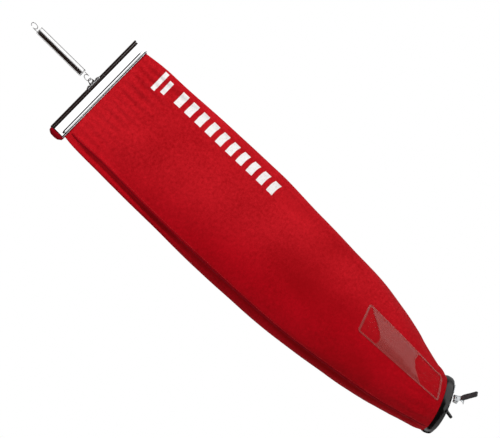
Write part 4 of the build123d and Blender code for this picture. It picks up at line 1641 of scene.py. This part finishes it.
@dataclass
class Collar:
    """Glossy cuff, inner sleeve, clamped neck, band, gasket, rivets and locating peg."""

    finishes: Finishes
    frame: CollarFrame
    bore: float = 41.5 * MM
    sleeve: float = 44.2 * MM
    sleeve_inside: float = 24.0 * MM
    cuff: float = 49.5 * MM
    cuff_top: float = 46.9 * MM
    cuff_foot: float = 48.46 * MM
    height: float = 13.5 * MM
    band: float = 46.5 * MM
    floor: float = 2.6 * MM

    def put(self, piece: Object, material: Material, slot: str, *nodes: str) -> None:
        """Move a piece from the collar's frame to its place and dress it."""
        place(piece, self.frame.matrix())
        dress(piece, material, "bag", slot, *nodes)

    def cuff_ring(self) -> Object:
        """Model the cuff: a bulged wall and a floor, as one turned shape."""
        shares = np.linspace(0, 1, 15)
        wall = []
        for share in shares:
            inset = (self.cuff - self.cuff_top) * (1 - share / 0.5) ** 2 if share < 0.5 else \
                (self.cuff - self.cuff_foot) * ((share - 0.5) / 0.5) ** 2
            wall.append((self.cuff - inset, self.height * share))
        inside = [(self.sleeve, self.height), (self.sleeve, self.height - self.floor),
                  (self.band, self.height - self.floor), (self.band, 0.25 * MM)]
        piece = lathe("collar_cuff_ring", wall + inside, steps=160)
        bevel(piece, 0.5 * MM, 3)
        smooth(piece)
        return piece

    def sleeve_ring(self) -> Object:
        """Model the sleeve, with a lead-in at its inner end and small inner steps."""
        top = -self.sleeve_inside
        outline = [(self.bore, self.height), (self.bore, top + 2 * MM), (self.bore + 0.9 * MM, top),
                   (self.sleeve - 0.5 * MM, top), (self.sleeve, top + 0.8 * MM), (self.sleeve, self.height)]
        piece = lathe("collar_sleeve_ring", outline, steps=128)
        bevel(piece, 0.3 * MM)
        smooth(piece)
        return piece

    def gasket_ring(self) -> Object:
        """Model the rubber gasket with a groove between its two lips."""
        start, end = self.height, self.height + 2.5 * MM
        middle = (self.bore + self.sleeve) / 2
        outline = [(self.bore, start), (self.bore, end - 0.6 * MM), (self.bore + 0.5 * MM, end),
                   (middle - 0.4 * MM, end), (middle, end - 0.7 * MM), (middle + 0.4 * MM, end),
                   (self.sleeve - 0.5 * MM, end), (self.sleeve, end - 0.6 * MM), (self.sleeve, start)]
        piece = lathe("collar_gasket_ring", outline, steps=128)
        smooth(piece, 50.0)
        return piece

    def neck(self) -> Object:
        """Model the clamped cloth as a ring whose outside is gathered in small folds."""
        outline = [(self.sleeve, 0.4 * MM), (self.sleeve, 7.6 * MM), (self.sleeve + 0.5 * MM, 8 * MM),
                   (self.sleeve + 1.6 * MM, 7.6 * MM), (self.sleeve + 1.6 * MM, 0.4 * MM),
                   (self.sleeve + 0.8 * MM, 0)]
        piece = lathe("neck_hem_ring", outline, steps=180)
        points = coordinates(piece)
        angle = np.arctan2(points[:, 1], points[:, 0])
        ripple = 1 + 0.0045 * np.sin(angle * 58) * (np.hypot(points[:, 0], points[:, 1]) > self.sleeve + MM)
        points[:, 0] *= ripple
        points[:, 1] *= ripple
        move_points(piece, points)
        smooth(piece, 60.0)
        return piece

    def band_ring(self) -> Object:
        """Model the metal band, whose rolled edge shows where the cloth goes into the cuff."""
        inner, outer = self.band - 0.7 * MM, self.band - 0.05 * MM
        bead = arc((self.band - 0.1 * MM, -0.15 * MM), 0.55 * MM, -40, 220, 12)
        outline = [(outer, 7.9 * MM), (inner, 7.9 * MM), (inner, 0.4 * MM), *bead[::-1], (outer, 0.5 * MM)]
        piece = lathe("neck_band_ring", outline, steps=160)
        smooth(piece, 50.0)
        return piece

    def rivets(self) -> Object:
        """Model the cuff's three rivets."""
        made = []
        for number, angle in enumerate((120.0, 180.0, 240.0)):
            rivet = domed_rivet(f"collar_rivet_{number}", 3.4 * MM, 1.2 * MM, 2.0 * MM)
            away = self.frame.spot(angle, 1.0, 0.0)
            place(rivet, frame_at(self.frame.spot(angle, self.cuff - 0.05 * MM, self.height / 2), (0, 0, 1),
                                  away.cross((0, 0, 1))))
            made.append(rivet)
        return join(*made)

    def peg(self) -> Object:
        """Model the locating peg, which leans back under the cuff."""
        radius, length = 2.75 * MM, 14 * MM
        outline = [(0, -1.2 * MM), (radius + 0.9 * MM, -1.2 * MM), (radius + 0.9 * MM, 0.6 * MM),
                   (radius, 1.6 * MM),
                   (radius * 0.97, length - 2.6 * MM), (radius * 0.9, length - MM), (radius - 0.9 * MM, length),
                   (0, length)]
        piece = lathe("locating_peg_post", outline, steps=36, closed=False)
        bevel(piece, 0.25 * MM)
        smooth(piece)
        lean = math.radians(30.0)
        way = Vector((-math.sin(lean), 0, math.cos(lean)))
        place(piece, frame_at(self.frame.spot(-7.0, 47.2 * MM, self.height), way.cross((0, 1, 0)) * -1,
                              (0, 1, 0)))
        return piece

    def build(self) -> None:
        """Model, place and dress the collar."""
        self.put(self.cuff_ring(), self.finishes.gloss_black, "cuff_plastic", "collar_cuff")
        self.put(self.sleeve_ring(), self.finishes.matt_black, "sleeve_plastic", "collar_sleeve")
        self.put(self.gasket_ring(), self.finishes.rubber, "gasket_rubber", "collar_gasket")
        neck = self.neck()
        uv_from_place(neck, 0, 1)
        # The neck takes the darker cloth: painted shade inside the cuff.
        self.put(neck, self.finishes.painted_shade_cloth, "bag_cloth", "neck_hem")
        self.put(self.band_ring(), self.finishes.zinc, "zinc_steel", "neck_band")
        self.put(self.rivets(), self.finishes.rivet, "rivet_steel", "collar_rivets")
        self.put(self.peg(), self.finishes.gloss_black, "cuff_plastic", "locating_peg")


@dataclass
class FloorFitting:
    """Sizes that the fittings under the cuff share."""

    sheet: float = 1.2 * MM
    inner: float = 44.5 * MM
    rivet_circle: float = 46.33 * MM
    cuff_height: float = 13.5 * MM
    rivet_head: float = 1.92 * MM
    rivet_rise: float = 0.72 * MM

    def rivets(self, name: str, frame: CollarFrame, angles: Sequence[float]) -> Object:
        """Model the rivets of a fitting, in the collar's frame."""
        made = []
        for number, angle in enumerate(angles):
            rivet = domed_rivet(f"{name}_{number}", self.rivet_head, self.rivet_rise, 1.2 * MM)
            place(rivet, Matrix.Translation(frame.spot(angle, self.rivet_circle,
                                                       self.cuff_height + self.sheet)))
            made.append(rivet)
        return join(*made)

    def plate(self, name: str, angle: float, half_angle: float, outer: float) -> Object:
        """Model a curved plate that lies under the cuff, in the collar's frame."""
        start, end = self.cuff_height, self.cuff_height + self.sheet
        outline = [(self.inner, start), (outer, start), (outer, end), (self.inner, end)]
        return lathe(name, outline, steps=18, turn=2 * half_angle, start=90 - angle - half_angle)


# ---- Latch -------------------------------
@dataclass
class Latch:
    """Lever latch under the cuff: bracket, pin, torsion spring, lever, grip and claw."""

    finishes: Finishes
    frame: CollarFrame
    fitting: FloorFitting
    angle: float = 20.0
    radius: float = 50.0 * MM
    pin_drop: float = 5.2 * MM
    heading: float = 42.0
    lever_width: float = 9.0 * MM
    lever_reach: float = 9.5 * MM
    lever_droop: float = 60.0
    grip_droop: float = 35.0
    spring_half: float = 2.1 * MM
    eye: float = 2.2 * MM

    def matrix(self) -> Matrix:
        """Matrix of the latch: +X along the lever's heading, +Y down, +Z along the pin."""
        away = self.frame.spot(self.heading, 1.0, 0.0)
        centre = self.frame.spot(self.angle, self.radius, self.fitting.cuff_height + self.pin_drop)
        return self.frame.matrix() @ frame_at(centre, away, (0, 0, 1))

    def bracket(self) -> Object:
        """Model the bracket: a plate under the cuff with two ears for the pin."""
        plate = self.fitting.plate("latch_bracket_plate", self.angle, 17.0, 48.0 * MM)
        bridge = self.fitting.plate("latch_bracket_bridge", self.angle + 2.0, 9.0, 51.0 * MM)
        place(join(plate, bridge), self.frame.matrix())
        ears = []
        for side in (-5.4 * MM, 5.4 * MM):
            ear = lug("latch_bracket_ear", 1.5 * MM, 3.4 * MM, (3.6 * MM, self.pin_drop), self.fitting.sheet)
            place(ear, self.matrix() @ frame_at((0, 0, side), (1, 0, 0), (0, 0, 1)))
            ears.append(ear)
        piece = join(plate, *ears)
        bevel(piece, 0.18 * MM)
        smooth(piece)
        return piece

    def pin(self) -> Object:
        """Model the headed pin."""
        half, head = 6.0 * MM, 0.8 * MM
        outline = [(0, -half - head), (1.9 * MM, -half - head), (2.25 * MM, -half - head * 0.5),
                   (2.25 * MM, -half),
                   (1.45 * MM, -half), (1.45 * MM, half), (2.25 * MM, half), (2.25 * MM, half + head * 0.5),
                   (1.9 * MM, half + head), (0, half + head)]
        piece = lathe("latch_pin_shaft", outline, steps=32, closed=False)
        place(piece, self.matrix())
        smooth(piece)
        return piece

    def torsion_spring(self) -> Object:
        """Model the wound spring on the pin, with a leg that presses on the bracket."""
        wire, turns = 0.45 * MM, 4
        piece = primitive("circle", "latch_spring_coil", vertices=10, radius=wire, fill_type="NOTHING",
                          rotation=(math.pi / 2, 0, 0), location=(-self.eye, 0, -self.spring_half + wire))
        modify(piece, "SCREW", axis="Z", angle=math.tau, screw_offset=2 * (self.spring_half - wire) / turns,
               iterations=turns, steps=28, render_steps=28)
        leg_end = -self.pin_drop + self.fitting.sheet
        leg = primitive("cylinder", "latch_spring_leg", vertices=10, radius=wire, depth=-leg_end,
                        rotation=(math.pi / 2, 0, 0),
                        location=(-self.eye, leg_end / 2, self.spring_half - wire))
        join(piece, leg)
        edit(piece)
        bpy.ops.mesh.fill_holes(sides=0)
        tidy_mesh(piece)
        place(piece, self.matrix())
        smooth(piece, 60.0)
        return piece

    def ways(self) -> tuple[Vector, Vector, Vector, Vector]:
        """Directions of the lever and the grip, and the lever's start and knee, in the latch's plane."""
        lever, grip = math.radians(self.lever_droop), math.radians(self.grip_droop)
        along = Vector((math.cos(lever), math.sin(lever), 0))
        out = Vector((math.cos(grip), math.sin(grip), 0))
        side = Vector((along.y, -along.x, 0))
        start = side * self.eye
        return along, out, start, start + along * self.lever_reach

    def lever(self) -> Object:
        """Model the lever: a sheet rolled round the pin, slotted for the spring, with a knee."""
        along, out, start, knee = self.ways()
        first = math.degrees(math.atan2(start.y, start.x))
        roll = [Vector((x, y, 0)) for x, y in arc((0, 0), self.eye, first - 320, first, 24)]
        run = [start + along * self.lever_reach * s for s in (0.15, 0.3, 0.6, 0.85)]
        bend = [knee + (out * t - along * (1 - t)) * 0.7 * MM for t in (0.3, 0.7)]
        shape = roll + run + bend + [knee + out * 14 * MM * s for s in (0.3, 0.6, 1.0)]
        half, slot = self.lever_width / 2, self.spring_half + 0.3 * MM
        steps = [(0, 0, half - slot), (0, 0, 2 * slot), (0, 0, half - slot)]
        piece = extrude_chain("latch_lever_arm", [point + Vector((0, 0, -half)) for point in shape], steps)
        edit(piece)
        bpy.ops.mesh.select_all(action="DESELECT")
        bpy.ops.object.mode_set(mode="OBJECT")
        for polygon in piece.data.polygons:
            middle = polygon.center
            polygon.select = abs(middle.z) < slot and math.hypot(middle.x, middle.y) < 4.4 * MM
        bpy.ops.object.mode_set(mode="EDIT")
        bpy.ops.mesh.select_mode(type="FACE")
        bpy.ops.mesh.delete(type="FACE")
        bpy.ops.object.mode_set(mode="OBJECT")
        thicken(piece, self.fitting.sheet)
        bevel(piece, 0.2 * MM)
        place(piece, self.matrix())
        smooth(piece)
        return piece

    def grip(self) -> Object:
        """Model the plastic grip with a rounded end and shallow finger ribs."""
        _, out, _, knee = self.ways()
        length, width, height = 27.5 * MM, 10.4 * MM, 3.4 * MM
        clear_selection()
        bpy.ops.mesh.primitive_cube_add(size=1, location=(length / 2, 0, 0))
        piece = bpy.context.object
        piece.name = "lever_grip_cover"
        bpy.ops.transform.resize(value=(length, height, width))
        bpy.ops.object.transform_apply()
        edit(piece)
        cuts = 22
        for number in range(1, cuts):
            bpy.ops.mesh.select_all(action="SELECT")
            bpy.ops.mesh.bisect(plane_co=(length * number / cuts, 0, 0), plane_no=(1, 0, 0))
        bpy.ops.object.mode_set(mode="OBJECT")
        points = coordinates(piece)
        share = points[:, 0] / length
        rib = np.where((share > 0.42) & (share < 0.9) & (np.round(share * cuts).astype(int) % 2 == 0),
                       0.45 * MM, 0.0)
        taper = 1 - 0.16 * np.clip((share - 0.86) / 0.14, 0, 1) - 0.10 * np.clip((0.12 - share) / 0.12, 0, 1)
        points[:, 2] *= taper
        points[:, 1] = (points[:, 1] - np.sign(points[:, 1]) * rib) * np.where(share > 0.95, 0.8, 1.0)
        move_points(piece, points)
        bevel(piece, 0.75 * MM, 3, 50.0)
        place(piece, self.matrix() @ frame_at(knee + out * 2 * MM, out, Vector((-out.y, out.x, 0))))
        smooth(piece, 45.0)
        return piece

    def claw(self) -> Object:
        """Model the claw that catches the machine's rim."""
        along, _, start, _ = self.ways()
        side = Vector((along.y, -along.x, 0))
        first = start + along * 3.5 * MM - side * self.fitting.sheet
        knee = first + along * 5 * MM
        end = knee + Vector((-0.35, 1, 0)).normalized() * 8 * MM
        toe = end + Vector((-3 * MM, 0.5 * MM, 0))
        half = 3.5 * MM
        shape = [first, knee - along * MM, knee + Vector((-0.2 * MM, 0.9 * MM, 0)),
                 end + Vector((0.1 * MM, -0.8 * MM, 0)),
                 end + Vector((-0.8 * MM, 0.1 * MM, 0)), toe]
        piece = extrude_chain("latch_claw_hook", [point + Vector((0, 0, -half)) for point in shape],
                              [(0, 0, 2 * half)])
        thicken(piece, self.fitting.sheet)
        bevel(piece, 0.2 * MM)
        place(piece, self.matrix())
        smooth(piece)
        return piece

    def build(self) -> None:
        """Model, place and dress the latch."""
        dress(self.bracket(), self.finishes.zinc, "bag", "zinc_steel", "latch_bracket")
        rivets = self.fitting.rivets("latch_rivet", self.frame, (self.angle - 13, self.angle + 13))
        place(rivets, self.frame.matrix())
        dress(rivets, self.finishes.rivet, "bag", "rivet_steel", "latch_rivets")
        dress(self.pin(), self.finishes.rivet, "bag", "rivet_steel", "latch_pin")
        dress(self.torsion_spring(), self.finishes.spring_steel, "bag", "spring_steel", "latch_spring")
        dress(self.lever(), self.finishes.zinc, "latch", "zinc_steel", "latch_lever")
        dress(self.grip(), self.finishes.grip, "latch", "grip_plastic", "lever_grip")
        dress(self.claw(), self.finishes.zinc, "latch", "zinc_steel", "latch_claw")


@dataclass
class RearHook:
    """Bent plate behind the cuff that hooks under the machine's rim."""

    finishes: Finishes
    frame: CollarFrame
    fitting: FloorFitting
    angle: float = 200.0
    half_angle: float = 9.9
    outer: float = 50.06 * MM
    drop: float = 11.0 * MM
    toe: float = 6.0 * MM

    def build(self) -> None:
        """Model, place and dress the hook and its rivets."""
        half = self.fitting.sheet / 2
        top = self.fitting.cuff_height + half
        foot = self.fitting.cuff_height + self.drop - half
        wall = self.outer - half
        shape = [(self.fitting.inner, top), (wall - MM, top), (wall - 0.3 * MM, top + 0.3 * MM),
                 (wall, top + MM),
                 (wall, foot - MM), (wall - 0.3 * MM, foot - 0.3 * MM), (wall - MM, foot),
                 (self.outer - self.toe, foot)]
        piece = lathe("rear_hook_plate", shape, steps=14, turn=2 * self.half_angle,
                      start=90 - self.angle - self.half_angle, closed=False)
        thicken(piece, self.fitting.sheet)
        bevel(piece, 0.2 * MM)
        place(piece, self.frame.matrix())
        smooth(piece)
        dress(piece, self.finishes.zinc, "bag", "zinc_steel", "rear_hook")
        rivets = self.fitting.rivets("rear_rivet", self.frame, (self.angle - 6, self.angle + 6))
        place(rivets, self.frame.matrix())
        dress(rivets, self.finishes.rivet, "bag", "rivet_steel", "rear_hook_rivets")


# ---- Studio ------------------------------
@dataclass
class Lamp:
    """A soft square light: place and aim in metres, size in metres, power in watts."""

    name: str
    place: tuple[float, float, float]
    size: float
    power: float
    colour: Colour = (1.0, 1.0, 1.0)


@dataclass(frozen=True)
class Card:
    """A bright card that gloss reflects: the ranges of its azimuth and height with soft ends, in degrees."""

    azimuth: tuple[float, float, float]
    height: tuple[float, float, float]
    strength: float = 1.0


@dataclass
class Studio:
    """White surroundings, soft lights, a pale floor and the camera."""

    aim: tuple[float, float, float] = (0.0207, 0.0, -0.4532)
    azimuth: float = -8.0
    elevation: float = 6.0
    distance: float = 3.2
    frame_width: float = 0.7915
    down_right: tuple[float, float] = (0.7133, 0.7008)
    lamps: tuple[Lamp, ...] = (
        Lamp("key", (1.15, -1.35, 0.45), 0.55, 30.0),
        Lamp("fill", (-1.4, -1.3, -0.2), 1.0, 5.0),
        Lamp("rim", (-0.4, 1.4, 0.3), 0.9, 12.0),
    )

    cards: tuple[Card, ...] = (
        Card((18, 104, 5), (-66, 56, 5)),
        Card((-140, -120, 4), (-66, 56, 5)),
        Card((112, 200, 6), (-60, 30, 5), 0.30),
        Card((-3, 60, 3), (-44, -15, 2.5)),
        Card((-125, -14, 4), (-84, -43, 4)),
        Card((-200, 200, 5), (44, 50, 3), 0.10),
    )

    def camera(self) -> None:
        """Make the camera, rolled so that the bag's down runs to the lower right."""
        data = bpy.data.cameras.new("studio_camera")
        eye = bpy.data.objects.new("studio_camera", data)
        bpy.context.scene.collection.objects.link(eye)
        azimuth, elevation = math.radians(self.azimuth), math.radians(self.elevation)
        away = Vector((math.sin(azimuth) * math.cos(elevation), -math.cos(azimuth) * math.cos(elevation),
                       math.sin(elevation)))
        side = Vector((math.cos(azimuth), math.sin(azimuth), 0))
        up = away.cross(side)
        x_part, y_part = self.down_right
        right_way = side * y_part - up * x_part
        up_way = side * x_part + up * y_part
        rotation = Matrix((right_way, up_way, away)).transposed().to_4x4()
        rotation.translation = Vector(self.aim) + away * self.distance
        eye.matrix_world = rotation
        data.sensor_width = 36.0
        data.lens = 36.0 * self.distance / self.frame_width
        data.clip_start, data.clip_end = 0.01, 20.0
        bpy.context.scene.camera = eye

    def floor(self) -> None:
        """Make the pale floor, well below the hanging bag."""
        disc = primitive("circle", "studio_floor", vertices=128, radius=0.5, fill_type="NGON",
                         location=(0, 0, -1.25))
        material, graph, shader = new_material("pale_floor")
        place_at = graph.node("ShaderNodeTexCoord").outputs[Coordinates.OBJECT.value]
        shade = graph.mix(graph.noise(place_at, 14.0, 3.0), (0.90, 0.90, 0.89), (0.94, 0.94, 0.93))
        set_inputs(shader, Base_Color=shade)
        set_inputs(shader, Roughness=0.7)
        disc.data.materials.append(material)

    def lights(self) -> None:
        """Make the soft lamps, each turned to the bag."""
        for lamp in self.lamps:
            data = bpy.data.lights.new(f"{lamp.name}_light", "AREA")
            data.shape, data.size, data.energy, data.color = "SQUARE", lamp.size, lamp.power, lamp.colour
            light = bpy.data.objects.new(f"{lamp.name}_light", data)
            light.location = lamp.place
            light.visible_glossy = False
            light.rotation_euler = (Vector(self.aim) - Vector(lamp.place)).to_track_quat("-Z", "Y").to_euler()
            bpy.context.scene.collection.objects.link(light)

    def world(self) -> None:
        """Make the surroundings: white behind the bag, soft light, and dark and bright cards for gloss."""
        world = bpy.data.worlds.new("studio_world")
        bpy.context.scene.world = world
        world.use_nodes = True
        world.node_tree.nodes.clear()
        graph = Graph(world.node_tree)
        way = graph.node("ShaderNodeSeparateXYZ", {0: graph.node("ShaderNodeTexCoord").outputs["Generated"]})
        x, y, z = way.outputs
        azimuth = graph.math("ARCTAN2", x, graph.math("MULTIPLY", y, -1.0))
        height = graph.math("ARCSINE", z)

        def window(value: object, low: float, high: float, soft: float) -> object:
            """Mask of a range of degrees with soft ends."""
            a, b, s = math.radians(low), math.radians(high), math.radians(soft)
            rise = graph.remap(value, a - s, a + s)
            fall = graph.remap(value, b - s, b + s, 1.0, 0.0)
            return graph.math("MULTIPLY", rise, fall)

        bright: object = 0.0
        for card in self.cards:
            mask = graph.math("MULTIPLY", window(azimuth, *card.azimuth), window(height, *card.height))
            bright = graph.math("MAXIMUM", bright, graph.math("MULTIPLY", mask, card.strength))
        cards = graph.mix(bright, (0.018, 0.010, 0.008), (1.35, 1.35, 1.35))
        gloss = graph.node("ShaderNodeBackground", {"Color": cards, "Strength": 1.0})
        soft = graph.node("ShaderNodeBackground", {"Color": (1.0, 1.0, 1.0, 1.0), "Strength": 0.34})
        white = graph.node("ShaderNodeBackground", {"Color": (1.0, 1.0, 1.0, 1.0), "Strength": 1.0})
        path = graph.node("ShaderNodeLightPath")
        first = graph.node("ShaderNodeMixShader",
                           {0: path.outputs["Is Glossy Ray"], 1: soft.outputs[0], 2: gloss.outputs[0]})
        last = graph.node("ShaderNodeMixShader",
                          {0: path.outputs["Is Camera Ray"], 1: first.outputs[0], 2: white.outputs[0]})
        output = graph.node("ShaderNodeOutputWorld")
        graph.tree.links.new(last.outputs[0], output.inputs[0])
        bpy.context.scene.view_settings.view_transform = "Standard"

    def build(self) -> None:
        """Make the whole studio."""
        self.camera()
        self.floor()
        self.lights()
        self.world()


def main() -> None:
    """Load the plain model and replace its parts with finished ones."""
    logging.basicConfig(level=logging.INFO, format="%(name)s: %(message)s")
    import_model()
    finishes = Finishes()
    Studio().build()
    Spring(finishes).build()
    SlideClip(finishes).build()
    TopHem(finishes).build()
    collar_frame = CollarFrame()
    fitting = FloorFitting()
    Collar(finishes, collar_frame).build()
    Latch(finishes, collar_frame, fitting).build()
    RearHook(finishes, collar_frame, fitting).build()
    BagBody(finishes).build()


if __name__ == "__main__":
    main()
